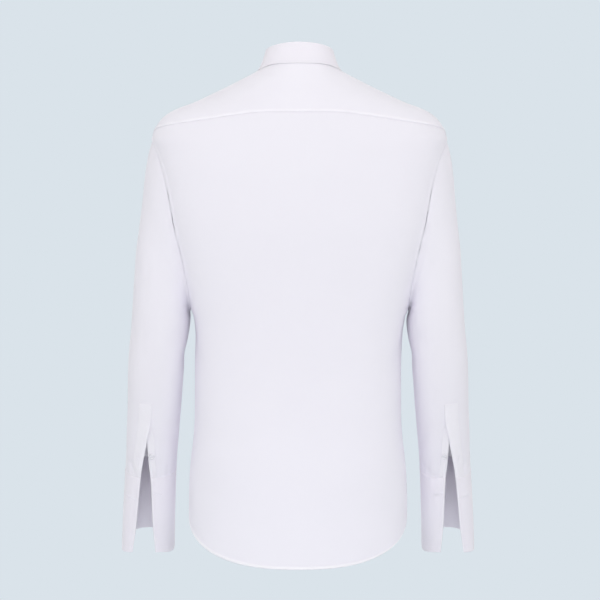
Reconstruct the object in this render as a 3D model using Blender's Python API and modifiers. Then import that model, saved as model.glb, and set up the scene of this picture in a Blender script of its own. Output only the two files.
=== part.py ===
"""A long sleeve dress shirt, filled out as if it were worn, with open double cuffs.

Metres, +Z up. The wearer faces -Y, so the wearer's left is +X. The origin is the middle of
the neck at the height where the collar joins the back. Every cloth piece is a grid laid on
one of two smooth surfaces, the body or a sleeve, and thickened inwards.
"""
import math
from collections import namedtuple

import bmesh
import bpy
import numpy as np
from mathutils import Vector

OBJECT_NAME = "long_sleeve_dress_shirt"

# Walls and the gaps between pieces.
CLOTH = 0.0012
FUSED = 0.0017
STRIP = 0.0010
SEAM = 0.0003

# The body, as level rings from the neck down. Each ring is a rounded oval, flatter at the back.
Ring = namedtuple("Ring", "drop half_width back_depth front_depth roundness")
BODY = (
    Ring(0.0000, 0.0530, 0.0560, 0.0120, 2.25),
    Ring(0.0080, 0.0557, 0.0620, 0.0215, 2.25),
    Ring(0.0105, 0.0597, 0.0637, 0.0260, 2.25),
    Ring(0.0135, 0.0645, 0.0660, 0.0302, 2.25),
    Ring(0.0178, 0.0715, 0.0690, 0.0342, 2.25),
    Ring(0.0290, 0.0928, 0.0760, 0.0425, 2.30),
    Ring(0.0418, 0.1178, 0.0830, 0.0518, 2.35),
    Ring(0.0546, 0.1440, 0.0890, 0.0602, 2.50),
    Ring(0.0674, 0.1712, 0.0942, 0.0686, 2.65),
    Ring(0.0770, 0.1965, 0.0975, 0.0748, 2.80),
    Ring(0.0850, 0.2110, 0.1000, 0.0802, 3.00),
    Ring(0.0946, 0.2213, 0.1030, 0.0872, 3.20),
    Ring(0.1060, 0.2283, 0.1062, 0.0955, 3.40),
    Ring(0.1186, 0.2330, 0.1090, 0.1030, 3.60),
    Ring(0.1262, 0.2345, 0.1105, 0.1070, 3.70),
    Ring(0.1450, 0.2300, 0.1135, 0.1145, 3.80),
    Ring(0.1835, 0.2225, 0.1172, 0.1250, 3.80),
    Ring(0.2580, 0.2090, 0.1180, 0.1320, 3.70),
    Ring(0.3270, 0.1895, 0.1125, 0.1300, 3.60),
    Ring(0.3650, 0.1790, 0.1090, 0.1280, 3.50),
    Ring(0.3970, 0.1715, 0.1065, 0.1250, 3.40),
    Ring(0.4150, 0.1668, 0.1055, 0.1240, 3.30),
    Ring(0.4450, 0.1645, 0.1045, 0.1220, 3.20),
    Ring(0.5000, 0.1640, 0.1040, 0.1185, 3.00),
    Ring(0.5700, 0.1645, 0.1070, 0.1185, 2.75),
    Ring(0.6000, 0.1664, 0.1090, 0.1190, 2.60),
    Ring(0.6300, 0.1700, 0.1115, 0.1205, 2.50),
    Ring(0.6650, 0.1728, 0.1138, 0.1215, 2.35),
    Ring(0.7100, 0.1740, 0.1155, 0.1220, 2.20),
    Ring(0.8050, 0.1745, 0.1165, 0.1215, 2.10),
)
FRONT_ROUNDNESS_SHARE = 0.5

# The neck seam falls a little to the sides and then to the front.
NECK_SIDE_DROP = 0.008
NECK_FRONT_DROP = 0.075
NECK_FRONT_CURVE = 2.0

# The armhole is a rounded loop about the side of the body. A turn counts degrees round it
# from its top, positive towards the back.
ARMHOLE_TOP = 0.1262
ARMHOLE_BOTTOM = 0.3970
ARMHOLE_BACK_ANGLE = 20.5
ARMHOLE_FRONT_ANGLE = 24.0
ARMHOLE_ROUNDNESS = 2.6
ARMPIT_DIP = 0.012

# The yoke seam across the back, by angle from centre back.
SeamPoint = namedtuple("SeamPoint", "angle drop")
YOKE_SEAM = (
    SeamPoint(0.0, 0.0879),
    SeamPoint(22.0, 0.0879),
    SeamPoint(33.6, 0.0885),
    SeamPoint(46.2, 0.0930),
    SeamPoint(58.2, 0.0998),
    SeamPoint(69.0, 0.1064),
    SeamPoint(76.0, 0.1095),
    SeamPoint(83.0, 0.1150),
    SeamPoint(90.0, ARMHOLE_TOP),
)
YOKE_FRONT_ANGLE = 118.0
YOKE_FRONT_TURN = -30.0

# The shirt-tail hem, rounded up to the side seams.
HEM_SIDE_DROP = 0.7200
HEM_BACK_DROP = 0.8006
HEM_FRONT_DROP = 0.7820
HEM_ROUNDNESS = 2.45
# Below the armpits the body hangs this much towards the wearer's left.
TAIL_SWING = 0.0024
TAIL_SWING_DEPTH = 0.10

# How fast a panel's curved edges, and the gaps at its seams, fade towards its middle.
EDGE_FADE = 4
SEAM_FADE = 8
# The share of the gap that each side of the yoke's front seam gives up.
FRONT_SEAM_SHARE = 0.75

# The fronts overlap about the centre line, left over right.
LAP = 0.016
LAP_TUCK = 0.010
LAP_STOPS = (LAP + LAP_TUCK, LAP, 0.0, -LAP)
LAP_END = 0.125

# The collar.
STAND_HEIGHT = 0.0249
STAND_FRONT_RISE = 0.0035
STAND_LEAN = 0.0035
LEAF_FOLD_ANGLE = 176.5
LEAF_POINT_ANGLE = 157.0
LEAF_LIFT = 0.0016
LEAF_CLEARANCE = 0.0008
LEAF_SPREAD = 0.0014
LEAF_BOW = 0.0035
LeafEdge = namedtuple("LeafEdge", "share drop")
LEAF_EDGE = (
    LeafEdge(0.00, 0.0080),
    LeafEdge(0.22, 0.0086),
    LeafEdge(0.34, 0.0106),
    LeafEdge(0.42, 0.0130),
    LeafEdge(0.48, 0.0145),
    LeafEdge(0.58, 0.0156),
    LeafEdge(0.66, 0.0205),
    LeafEdge(0.74, 0.0360),
    LeafEdge(0.82, 0.0590),
    LeafEdge(0.90, 0.0850),
    LeafEdge(1.00, 0.1220),
)

# The left sleeve, as rings that fan out round the armpit and then go down the arm. Outer and
# inner are the ring's two sides; pitch and bow tilt and curve it from back to front.
Cut = namedtuple("Cut", "outer_x outer_drop inner_x inner_drop middle_y half_depth pitch bow")
SLEEVE = (
    Cut(0.2345, 0.1262, 0.1722, 0.3970, -0.008, 0.0580, 0.00, 0.0),
    Cut(0.2413, 0.1500, 0.1735, 0.3990, -0.006, 0.0595, 0.00, 0.0),
    Cut(0.2467, 0.1830, 0.1740, 0.4015, -0.004, 0.0610, 0.00, 0.0),
    Cut(0.2507, 0.2220, 0.1745, 0.4050, -0.003, 0.0620, 0.00, 0.0),
    Cut(0.2555, 0.2620, 0.1750, 0.4095, -0.001, 0.0625, 0.00, 0.0),
    Cut(0.2610, 0.3050, 0.1755, 0.4160, 0.001, 0.0620, 0.00, 0.0),
    Cut(0.2640, 0.3500, 0.1770, 0.4290, 0.003, 0.0600, 0.02, 0.0),
    Cut(0.2667, 0.3950, 0.1800, 0.4470, 0.004, 0.0575, 0.04, 0.0),
    Cut(0.2690, 0.4300, 0.1828, 0.4660, 0.004, 0.0550, 0.06, 0.0),
    Cut(0.2725, 0.4650, 0.1850, 0.4880, 0.003, 0.0525, 0.09, 0.0),
    Cut(0.2744, 0.5050, 0.1875, 0.5150, -0.001, 0.0500, 0.13, 0.0),
    Cut(0.2752, 0.5450, 0.1900, 0.5480, -0.008, 0.0480, 0.18, 0.0),
    Cut(0.2774, 0.5900, 0.1938, 0.5900, -0.018, 0.0460, 0.25, 0.0),
    Cut(0.2803, 0.6500, 0.1988, 0.6500, -0.034, 0.0440, 0.33, 0.0),
    Cut(0.2855, 0.7250, 0.2020, 0.7250, -0.055, 0.0430, 0.36, 2.5),
    Cut(0.2885, 0.7820, 0.2037, 0.7820, -0.072, 0.0430, 0.38, 5.8),
)
ARMHOLE_END_ROUNDNESS = 2.1
SLEEVE_ROUNDNESS = 2.5
ROUNDNESS_STEP = 5.0
CUFF_SEAM_STEP = 13
CUFF_HEM_STEP = 15
ARMHOLE_BLEND_STEP = 6.0
# The right sleeve hangs this much closer to the body.
SWING = {"left": 0.0, "right": 0.0045}
SWING_STEP = 7.0
SLEEVE_CLEARANCE = 0.003
SIDES = {"left": 1, "right": -1}

# The sleeve's back opening: the angles of the free edges of its two strips.
Opening = namedtuple("Opening", "step gauntlet underlap")
OPENING = (
    Opening(10.00, 89.4, 78.0),
    Opening(11.27, 89.4, 78.0),
    Opening(12.17, 84.0, 85.0),
    Opening(13.00, 75.3, 91.0),
    Opening(14.25, 68.9, 98.5),
    Opening(15.00, 61.8, 104.3),
)
OPENING_TOP_STEP = 11.27
ARMHOLE_CUT_ANGLE = 75.0
CUT_ANGLE = 81.5
GAUNTLET_TOP_STEP = 10.78
GAUNTLET_ANGLE = 26.0
UNDERLAP_TOP_STEP = 11.20
UNDERLAP_ANGLE = 10.4
STEP_GAP = 0.003

# Folds: the two ends on the surface, how wide, and how far in (negative) or out.
Fold = namedtuple("Fold", "angle_a step_a angle_b step_b width depth")
SLEEVE_FOLDS = (
    Fold(150.0, 6.4, 100.0, 8.0, 0.016, -0.0022),
    Fold(205.0, 7.6, 150.0, 8.8, 0.014, -0.0024),
    Fold(285.0, 6.9, 235.0, 8.3, 0.017, -0.0030),
    Fold(260.0, 8.9, 205.0, 8.5, 0.013, -0.0026),
    Fold(320.0, 8.6, 270.0, 9.5, 0.016, -0.0024),
    Fold(300.0, 11.0, 250.0, 12.1, 0.015, -0.0018),
)
BODY_FOLDS = (
    Fold(84.0, 0.410, 62.0, 0.520, 0.018, -0.0022),
    Fold(100.0, 0.415, 128.0, 0.560, 0.020, -0.0028),
    Fold(112.0, 0.340, 140.0, 0.420, 0.020, -0.0022),
    Fold(80.0, 0.640, 70.0, 0.740, 0.020, 0.0018),
)

# Grid sizes: columns across and rows along. Pieces that meet share their points at the seam,
# so a column of the sleeve starts at each TURN_STEP round the armhole, and the rows of the
# back, the yoke and the fronts end there too.
Grid = namedtuple("Grid", "columns rows")
TURN_STEP = 15.0
SIDE_SEAM_ROWS = 14
BACK_COLUMNS = 22
YOKE_ROWS = 6
SLEEVE_UPPER_ROWS = 17
SLEEVE_LOWER_ROWS = 4
STAND_ROWS = 2
LEAF_ROLL_ROWS = 3
LEAF_FALL_ROWS = 5
CUFF_GRID = Grid(20, 5)
GAUNTLET_GRID = Grid(4, 8)
UNDERLAP_GRID = Grid(2, 8)
ARMHOLE_COLUMNS = round(360 / TURN_STEP)
BACK_ARMHOLE_ROWS = round(180 / TURN_STEP)
FRONT_ARMHOLE_ROWS = round((180 + YOKE_FRONT_TURN) / TURN_STEP)
YOKE_ARMHOLE_COLUMNS = round(-YOKE_FRONT_TURN / TURN_STEP)
YOKE_SEAM_COLUMNS = BACK_COLUMNS // 2
YOKE_COLUMNS = YOKE_SEAM_COLUMNS + YOKE_ARMHOLE_COLUMNS
FRONT_NECK_COLUMNS = 4
FRONT_LAP_COLUMNS = 3

# Buttons: turned discs with a raised rim. The profile gives shares of the button's radius and
# thickness, from the middle of its face over the rim to the middle of its back.
ButtonRing = namedtuple("ButtonRing", "radius height")
BUTTON_PROFILE = (
    ButtonRing(0.00, 0.70),
    ButtonRing(0.62, 0.62),
    ButtonRing(0.74, 0.96),
    ButtonRing(0.90, 1.00),
    ButtonRing(1.00, 0.70),
    ButtonRing(0.93, 0.12),
    ButtonRing(0.60, 0.00),
    ButtonRing(0.00, 0.00),
)
BUTTON_RADIUS = 0.00575
SMALL_BUTTON_RADIUS = 0.0045
BUTTON_THICKNESS = 0.0026
BUTTON_SIDES = 12
FIRST_BUTTON_DROP = 0.135
BUTTON_SPACING = 0.090
FRONT_BUTTONS = 6
COLLAR_BUTTON_DROP = 0.0605
PLACKET_BUTTON_STEP = 12.48
PLACKET_BUTTON_ANGLE = 3.9

WHITE_CLOTH = (0.86, 0.84, 0.93)
BUTTON_WHITE = (0.80, 0.79, 0.84)


def smooth_curve(rows, column):
    """A curve through one column of a table, with no overshoot between its rows."""
    keys = np.array([row[0] for row in rows])
    values = np.array([row[rows[0]._fields.index(column)] for row in rows])
    steps = np.diff(keys)
    slopes = np.diff(values) / steps
    tangents = np.zeros(len(keys))
    tangents[0] = slopes[0]
    tangents[-1] = slopes[-1]
    for i in range(1, len(keys) - 1):
        if slopes[i - 1] * slopes[i] > 0:
            before = 2 * steps[i] + steps[i - 1]
            after = steps[i] + 2 * steps[i - 1]
            tangents[i] = (before + after) / (before / slopes[i - 1] + after / slopes[i])

    def curve(key):
        key = min(max(key, keys[0]), keys[-1])
        i = min(int(np.searchsorted(keys, key, "right")) - 1, len(steps) - 1)
        t = (key - keys[i]) / steps[i]
        bend_in = t * (1 - t) ** 2 * steps[i] * tangents[i]
        bend_out = t * t * (t - 1) * steps[i] * tangents[i + 1]
        rise = t * t * (3 - 2 * t)
        return float(values[i] * (1 - rise) + values[i + 1] * rise + bend_in + bend_out)

    return curve


def numbered(rows):
    """The table with each row's number put first, to be looked up by a step along it."""
    numbered_row = namedtuple("NumberedRow", ("step",) + rows[0]._fields)
    return [numbered_row(float(i), *row) for i, row in enumerate(rows)]


def mix(a, b, share):
    return a + (b - a) * share


def ease(t):
    t = min(max(t, 0.0), 1.0)
    return t * t * (3 - 2 * t)


def rounded(value, roundness):
    """A sine or cosine bent so that a circle becomes a rounded oval."""
    return math.copysign(abs(value) ** (2 / roundness), value)


HALF_WIDTH = smooth_curve(BODY, "half_width")
BACK_DEPTH = smooth_curve(BODY, "back_depth")
FRONT_DEPTH = smooth_curve(BODY, "front_depth")
ROUNDNESS = smooth_curve(BODY, "roundness")
YOKE_SEAM_DROP = smooth_curve(YOKE_SEAM, "drop")
LEAF_EDGE_DROP = smooth_curve(LEAF_EDGE, "drop")
GAUNTLET_EDGE = smooth_curve(OPENING, "gauntlet")
UNDERLAP_EDGE = smooth_curve(OPENING, "underlap")
SLEEVE_CURVES = {name: smooth_curve(numbered(SLEEVE), name) for name in Cut._fields}

# Lengths along the body's side outline, which space the rows where the shoulder is flat.
PROFILE_DROPS = np.linspace(BODY[0].drop, BODY[-1].drop, 800)
PROFILE_WIDTHS = np.array([HALF_WIDTH(drop) for drop in PROFILE_DROPS])
PROFILE_LENGTHS = np.concatenate(
    ([0.0], np.cumsum(np.hypot(np.diff(PROFILE_DROPS), np.diff(PROFILE_WIDTHS))))
)


def length_at(drop):
    return float(np.interp(drop, PROFILE_DROPS, PROFILE_LENGTHS))


def drop_at(length):
    return float(np.interp(length, PROFILE_LENGTHS, PROFILE_DROPS))


def ring_power(at_back, drop):
    """How flat a ring is. 2 is an ellipse."""
    power = ROUNDNESS(drop)
    return power if at_back else 2 + (power - 2) * FRONT_ROUNDNESS_SHARE


def body_radius(angle, drop):
    sine = abs(math.sin(math.radians(angle)))
    cosine = math.cos(math.radians(angle))
    depth = BACK_DEPTH(drop) if cosine > 0 else FRONT_DEPTH(drop)
    power = ring_power(cosine > 0, drop)
    total = (sine / HALF_WIDTH(drop)) ** power + (abs(cosine) / depth) ** power
    return total ** (-1 / power)


def fold_lift(point, ends, folds):
    """How far the folds move a point out; each fades towards its two ends."""
    lift = 0.0
    for (start, end), fold in zip(ends, folds):
        line = end - start
        share = (point - start).dot(line) / line.length_squared
        if 0 < share < 1:
            distance = (point - start - line * share).length
            fade = 1 - (2 * share - 1) ** 2
            lift += fold.depth * fade * math.exp(-((distance / fold.width) ** 2))
    return lift


def smooth_body_point(angle, drop):
    radius = body_radius(angle, drop)
    turn = math.radians(angle)
    return Vector((radius * math.sin(turn), radius * math.cos(turn), -drop))


def surface_normal(surface, a, b, step_a, step_b):
    """The unit normal of a surface given by two numbers, from points either side."""
    across = surface(a + step_a, b) - surface(a - step_a, b)
    along = surface(a, b + step_b) - surface(a, b - step_b)
    return across.cross(along).normalized()


def body_normal(angle, drop):
    """Points out of the body. The step stays inside the table at its upper end."""
    drop = max(drop, 0.0006)
    return surface_normal(smooth_body_point, angle, drop, 0.4, 0.0005)


BODY_FOLD_ENDS = [
    (smooth_body_point(f.angle_a, f.step_a), smooth_body_point(f.angle_b, f.step_b))
    for f in BODY_FOLDS
]


def body_point(angle, drop, lift=0.0):
    """A point of the body at an angle from centre back, positive towards +X."""
    point = smooth_body_point(angle, drop)
    mirrored = Vector((abs(point.x), point.y, point.z))
    lift += fold_lift(mirrored, BODY_FOLD_ENDS, BODY_FOLDS)
    if lift:
        point += body_normal(angle, drop) * lift
    point.x += TAIL_SWING * ease((drop - ARMHOLE_BOTTOM) / TAIL_SWING_DEPTH)
    return point


def neck_drop(angle):
    turn = math.radians(angle)
    side = NECK_SIDE_DROP * math.sin(turn) ** 2
    if math.cos(turn) >= 0:
        return side
    front = (NECK_FRONT_DROP - NECK_SIDE_DROP) * (-math.cos(turn)) ** NECK_FRONT_CURVE
    return NECK_SIDE_DROP + front


def armhole(turn):
    """The armhole's angle and drop; turn is 0 at the shoulder, 90 at the back, 180 below."""
    sine = rounded(math.sin(math.radians(turn)), ARMHOLE_ROUNDNESS)
    cosine = rounded(math.cos(math.radians(turn)), ARMHOLE_ROUNDNESS)
    middle = (ARMHOLE_TOP + ARMHOLE_BOTTOM) / 2
    half_height = (ARMHOLE_BOTTOM - ARMHOLE_TOP) / 2
    spread = ARMHOLE_BACK_ANGLE if sine > 0 else ARMHOLE_FRONT_ANGLE
    return 90.0 - spread * sine, middle - half_height * cosine


def hem_drop(angle):
    centre = HEM_BACK_DROP if angle <= 90 else HEM_FRONT_DROP
    point = smooth_body_point(angle, HEM_SIDE_DROP)
    share = min(abs(point.x) / HALF_WIDTH(HEM_SIDE_DROP), 1.0)
    height = (1 - share**HEM_ROUNDNESS) ** (1 / HEM_ROUNDNESS)
    return mix(HEM_SIDE_DROP, centre, height)


def seam_angle(distance, drop):
    """The angle that a small distance round the body takes up at a drop."""
    return math.degrees(distance / HALF_WIDTH(drop))


def patch(u, v, bottom, top, left, right):
    """A point inside four edge curves, each giving an angle and a length down the body.

    Straight rows run from the left edge to the right edge, and bend to the curves of the
    bottom and the top edge only near those.
    """
    near_bottom = (1 - v) ** EDGE_FADE
    near_top = v**EDGE_FADE
    point = []
    for i in range(2):
        value = mix(left(v)[i], right(v)[i], u)
        value += (bottom(u)[i] - mix(left(0.0)[i], right(0.0)[i], u)) * near_bottom
        value += (top(u)[i] - mix(left(1.0)[i], right(1.0)[i], u)) * near_top
        point.append(value)
    return point


def sheet(name, grid, place, thickness, flip, weld=False):
    """A grid laid out by place(u, v), thickened inwards; u and v run from 0 to 1."""
    bm = bmesh.new()
    bmesh.ops.create_grid(bm, x_segments=grid.columns, y_segments=grid.rows, size=1.0)
    for vertex in bm.verts:
        vertex.co = place((vertex.co.x + 1) / 2, (vertex.co.y + 1) / 2)
    if weld:
        bmesh.ops.remove_doubles(bm, verts=bm.verts, dist=1e-5)
    if flip:
        bmesh.ops.reverse_faces(bm, faces=bm.faces)
    obj = add_object(name, bm, WHITE_CLOTH, 0.85)
    wall = obj.modifiers.new("wall", "SOLIDIFY")
    wall.thickness = thickness
    wall.offset = -1.0
    return obj


def add_object(name, bm, colour, roughness):
    mesh = bpy.data.meshes.new(name)
    bm.to_mesh(mesh)
    bm.free()
    mesh.shade_smooth()
    mesh.materials.append(make_material(name, colour, roughness))
    obj = bpy.data.objects.new(name, mesh)
    bpy.data.collections[OBJECT_NAME].objects.link(obj)
    return obj


def make_material(name, colour, roughness):
    material = bpy.data.materials.new(name)
    material.use_nodes = True
    shader = material.node_tree.nodes["Principled BSDF"]
    shader.inputs["Base Color"].default_value = (*colour, 1.0)
    shader.inputs["Roughness"].default_value = roughness
    shader.inputs["Metallic"].default_value = 0.0
    return material


def side_edge(v, armhole_rows, last_turn, seam_shift):
    """The panel's side: up the side seam to the armpit, then round the armhole."""
    row = v * (SIDE_SEAM_ROWS + armhole_rows)
    if row < SIDE_SEAM_ROWS:
        drop = mix(hem_drop(90.0 + seam_shift), ARMHOLE_BOTTOM, row / SIDE_SEAM_ROWS)
        return 90.0 + seam_shift, length_at(drop)
    share = (row - SIDE_SEAM_ROWS) / armhole_rows
    first_turn = 180.0 if seam_shift < 0 else -180.0
    angle, drop = armhole(mix(first_turn, last_turn, share))
    return angle + seam_shift * (1 - ease(share * 4)), length_at(drop)


def centre_length(v, armhole_rows, low, high):
    """Up the middle of a panel, with the row at the armpit a little below the armpit."""
    row = v * (SIDE_SEAM_ROWS + armhole_rows)
    armpit = length_at(ARMHOLE_BOTTOM + ARMPIT_DIP)
    if row < SIDE_SEAM_ROWS:
        return mix(low, armpit, row / SIDE_SEAM_ROWS)
    return mix(armpit, high, (row - SIDE_SEAM_ROWS) / armhole_rows)


def yoke_seam(share):
    """From centre back to the armhole."""
    angle = YOKE_SEAM[-1].angle * share
    return angle, length_at(YOKE_SEAM_DROP(angle))


def yoke_front_seam(share):
    """From the armhole to the neck."""
    armhole_angle, armhole_drop = armhole(YOKE_FRONT_TURN)
    neck_length = length_at(neck_drop(YOKE_FRONT_ANGLE))
    angle = mix(armhole_angle, YOKE_FRONT_ANGLE, share)
    return angle, mix(length_at(armhole_drop), neck_length, share)


def build_back():
    hem_edge_angle = 90.0 - seam_angle(SEAM / 2, HEM_SIDE_DROP)

    def bottom(u):
        angle = hem_edge_angle * u
        return angle, length_at(hem_drop(angle))

    def top(u):
        angle, length = yoke_seam(u)
        return angle, length + SEAM

    def left(v):
        return 0.0, centre_length(v, BACK_ARMHOLE_ROWS, bottom(0.0)[1], top(0.0)[1])

    def right(v):
        angle, length = side_edge(v, BACK_ARMHOLE_ROWS, 0.0, hem_edge_angle - 90.0)
        return angle, length + SEAM * v**SEAM_FADE

    def place(u, v):
        side = 2 * u - 1
        angle, length = patch(abs(side), v, bottom, top, left, right)
        return body_point(math.copysign(angle, side), drop_at(length))

    grid = Grid(BACK_COLUMNS, SIDE_SEAM_ROWS + BACK_ARMHOLE_ROWS)
    sheet("back", grid, place, CLOTH, flip=True)


def build_yoke():
    def outer(u):
        column = u * YOKE_COLUMNS
        if column < YOKE_SEAM_COLUMNS:
            angle, length = yoke_seam(column / YOKE_SEAM_COLUMNS)
            return angle, length - SEAM
        share = (column - YOKE_SEAM_COLUMNS) / YOKE_ARMHOLE_COLUMNS
        angle, drop = armhole(YOKE_FRONT_TURN * share)
        return angle, length_at(drop) - SEAM * (1 - share)

    def neck(u):
        angle = YOKE_FRONT_ANGLE * u
        return angle, length_at(neck_drop(angle))

    def centre(v):
        return 0.0, mix(outer(0.0)[1], neck(0.0)[1], v)

    def place(u, v):
        side = 2 * u - 1
        angle, length = patch(abs(side), v, outer, neck, centre, yoke_front_seam)
        drop = drop_at(length)
        angle -= abs(side) ** SEAM_FADE * seam_angle(FRONT_SEAM_SHARE * SEAM, drop)
        return body_point(math.copysign(angle, side), drop)

    sheet("yoke", Grid(2 * YOKE_COLUMNS, YOKE_ROWS), place, CLOTH, flip=True)


def angle_before_front(distance, drop):
    """The angle of the point that lies a distance short of the centre front."""
    return 180.0 - math.degrees(math.asin(distance / body_radius(180.0, drop)))


def lap_angle(distance, edge_drop):
    """Where the hem or the neck, given as a drop by angle, passes that distance."""
    angle = 180.0
    for _ in range(10):
        angle = angle_before_front(distance, edge_drop(angle))
    return angle


def lap_ends(distance):
    """The lengths down the body where the lap begins at the neck and ends at the hem."""
    low = length_at(hem_drop(lap_angle(distance, hem_drop)))
    high = length_at(neck_drop(lap_angle(distance, neck_drop)))
    return low, high


def lap_line(distance, v):
    """Level with the first stop, but for the last part at either end."""
    first_low, first_high = lap_ends(LAP_STOPS[0])
    low, high = lap_ends(distance)
    length = centre_length(v, FRONT_ARMHOLE_ROWS, first_low, first_high)
    length += (low - first_low) * max(0.0, 1 - v / LAP_END)
    length += (high - first_high) * max(0.0, 1 - (1 - v) / LAP_END)
    return angle_before_front(distance, drop_at(length)), length


def build_front(side_name):
    """The lap's own columns lie side by side from just before the lap to the front edge."""
    side = SIDES[side_name]
    shift = seam_angle(SEAM / 2, HEM_SIDE_DROP)
    plain_columns = YOKE_ROWS + FRONT_NECK_COLUMNS
    columns = plain_columns + FRONT_LAP_COLUMNS

    def bottom(u):
        angle = mix(90.0 + shift, lap_angle(LAP_STOPS[0], hem_drop), u)
        return angle, length_at(hem_drop(angle))

    def top(u):
        column = u * plain_columns
        if column < YOKE_ROWS:
            angle, length = yoke_front_seam(column / YOKE_ROWS)
            return angle + seam_angle(FRONT_SEAM_SHARE * SEAM, drop_at(length)), length
        share = (column - YOKE_ROWS) / FRONT_NECK_COLUMNS
        angle = mix(YOKE_FRONT_ANGLE, lap_angle(LAP_STOPS[0], neck_drop), share)
        angle += seam_angle(SEAM / 2, neck_drop(angle)) * (1 - share)
        return angle, length_at(neck_drop(angle))

    def left(v):
        angle, length = side_edge(v, FRONT_ARMHOLE_ROWS, YOKE_FRONT_TURN, shift)
        corner_shift = top(0.0)[0] - armhole(YOKE_FRONT_TURN)[0]
        return angle + corner_shift * v**SEAM_FADE, length

    def right(v):
        return lap_line(LAP_STOPS[0], v)

    def place(u, v):
        column = round(u * columns)
        if column <= plain_columns:
            angle, length = patch(column / plain_columns, v, bottom, top, left, right)
        else:
            angle, length = lap_line(LAP_STOPS[column - plain_columns], v)
        tucked = column > plain_columns and side_name == "right"
        lift = -(CLOTH + 2 * SEAM) if tucked else 0.0
        return body_point(side * angle, drop_at(length), lift)

    grid = Grid(columns, SIDE_SEAM_ROWS + FRONT_ARMHOLE_ROWS)
    sheet("front_" + side_name, grid, place, CLOTH, flip=side > 0)


def neck_angle(column, last_angle):
    """The angle of a collar column, counted from centre back, in step with the neck edge."""
    before_lap, lap, middle = [lap_angle(stop, neck_drop) for stop in LAP_STOPS[:3]]
    plain_columns = YOKE_COLUMNS + FRONT_NECK_COLUMNS
    columns = (0, YOKE_COLUMNS) + tuple(plain_columns + i for i in range(4))
    angles = (0.0, YOKE_FRONT_ANGLE, before_lap, lap, min(middle, last_angle), last_angle)
    return float(np.interp(column, columns, angles))


def stand_height(angle):
    return STAND_HEIGHT + STAND_FRONT_RISE * max(-math.cos(math.radians(angle)), 0.0) ** 2


def stand_point(angle, share, out=0.0, up=0.0):
    """On the outside of the collar stand; share is 0 at the neck seam and 1 at the fold."""
    base = neck_drop(angle)
    height = mix(SEAM, stand_height(angle), share)
    radius = body_radius(angle, base) - STAND_LEAN * share + out
    turn = math.radians(angle)
    return Vector((radius * math.sin(turn), radius * math.cos(turn), height - base + up))


def build_stand():
    half_columns = YOKE_COLUMNS + FRONT_NECK_COLUMNS + FRONT_LAP_COLUMNS
    end = lap_angle(-LAP, neck_drop)

    def place(u, v):
        side = 2 * u - 1
        column = round(abs(side) * half_columns)
        angle = neck_angle(column, end)
        tucked = side < 0 and column > YOKE_COLUMNS + FRONT_NECK_COLUMNS
        out = -(FUSED + 2 * SEAM) if tucked else 0.0
        return stand_point(math.copysign(angle, side), v, out)

    sheet("collar_stand", Grid(2 * half_columns, STAND_ROWS), place, FUSED, flip=True)


def leaf_roll(angle, row):
    """Over the stand's top edge: row 0 is the inner edge, and the others turn to the outside."""
    reach = LEAF_CLEARANCE + FUSED
    along = stand_point(angle + 1, 1.0) - stand_point(angle - 1, 1.0)
    rise = reach * along.length / math.hypot(along.x, along.y)
    if row == 0:
        return stand_point(angle, 1.0, out=-FUSED, up=rise)
    turn = math.radians(90 * (row - 1) / (LEAF_ROLL_ROWS - 1))
    return stand_point(angle, 1.0, out=reach * math.sin(turn), up=rise * math.cos(turn))


def clear_of_neck(point):
    """The point moved out where the stand, or the body below it, would touch the leaf."""
    radius = math.hypot(point.x, point.y)
    angle = math.degrees(math.atan2(point.x, point.y))
    drop = neck_drop(angle)
    if -point.z > drop:
        under = body_radius(angle, -point.z)
    else:
        share = min((point.z + drop) / stand_height(angle), 1.0)
        under = body_radius(angle, drop) - STAND_LEAN * share
    scale = max(1.0, (under + LEAF_SPREAD + FUSED) / radius)
    return Vector((point.x * scale, point.y * scale, point.z))


def build_leaf():
    half_columns = YOKE_COLUMNS + FRONT_NECK_COLUMNS + FRONT_LAP_COLUMNS - 1
    rows = LEAF_ROLL_ROWS + LEAF_FALL_ROWS

    def place(u, v):
        side = 2 * u - 1
        fold_angle = neck_angle(abs(side) * half_columns, LEAF_FOLD_ANGLE)
        share = fold_angle / LEAF_FOLD_ANGLE
        fold_angle = math.copysign(fold_angle, side)
        row = round((1 - v) * rows)
        if row <= LEAF_ROLL_ROWS:
            return leaf_roll(fold_angle, row)
        edge_angle = math.copysign(LEAF_POINT_ANGLE * share, side)
        middle = (fold_angle + edge_angle) / 2
        start = leaf_roll(fold_angle, LEAF_ROLL_ROWS)
        bend = stand_point(middle, 0.0, out=LEAF_CLEARANCE + FUSED + LEAF_BOW)
        end = body_point(edge_angle, LEAF_EDGE_DROP(share), FUSED + LEAF_LIFT)
        t = (row - LEAF_ROLL_ROWS) / LEAF_FALL_ROWS
        return clear_of_neck(start * (1 - t) ** 2 + bend * (2 * t * (1 - t)) + end * t**2)

    sheet("collar_leaf", Grid(2 * half_columns, rows), place, FUSED, flip=True)


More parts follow.
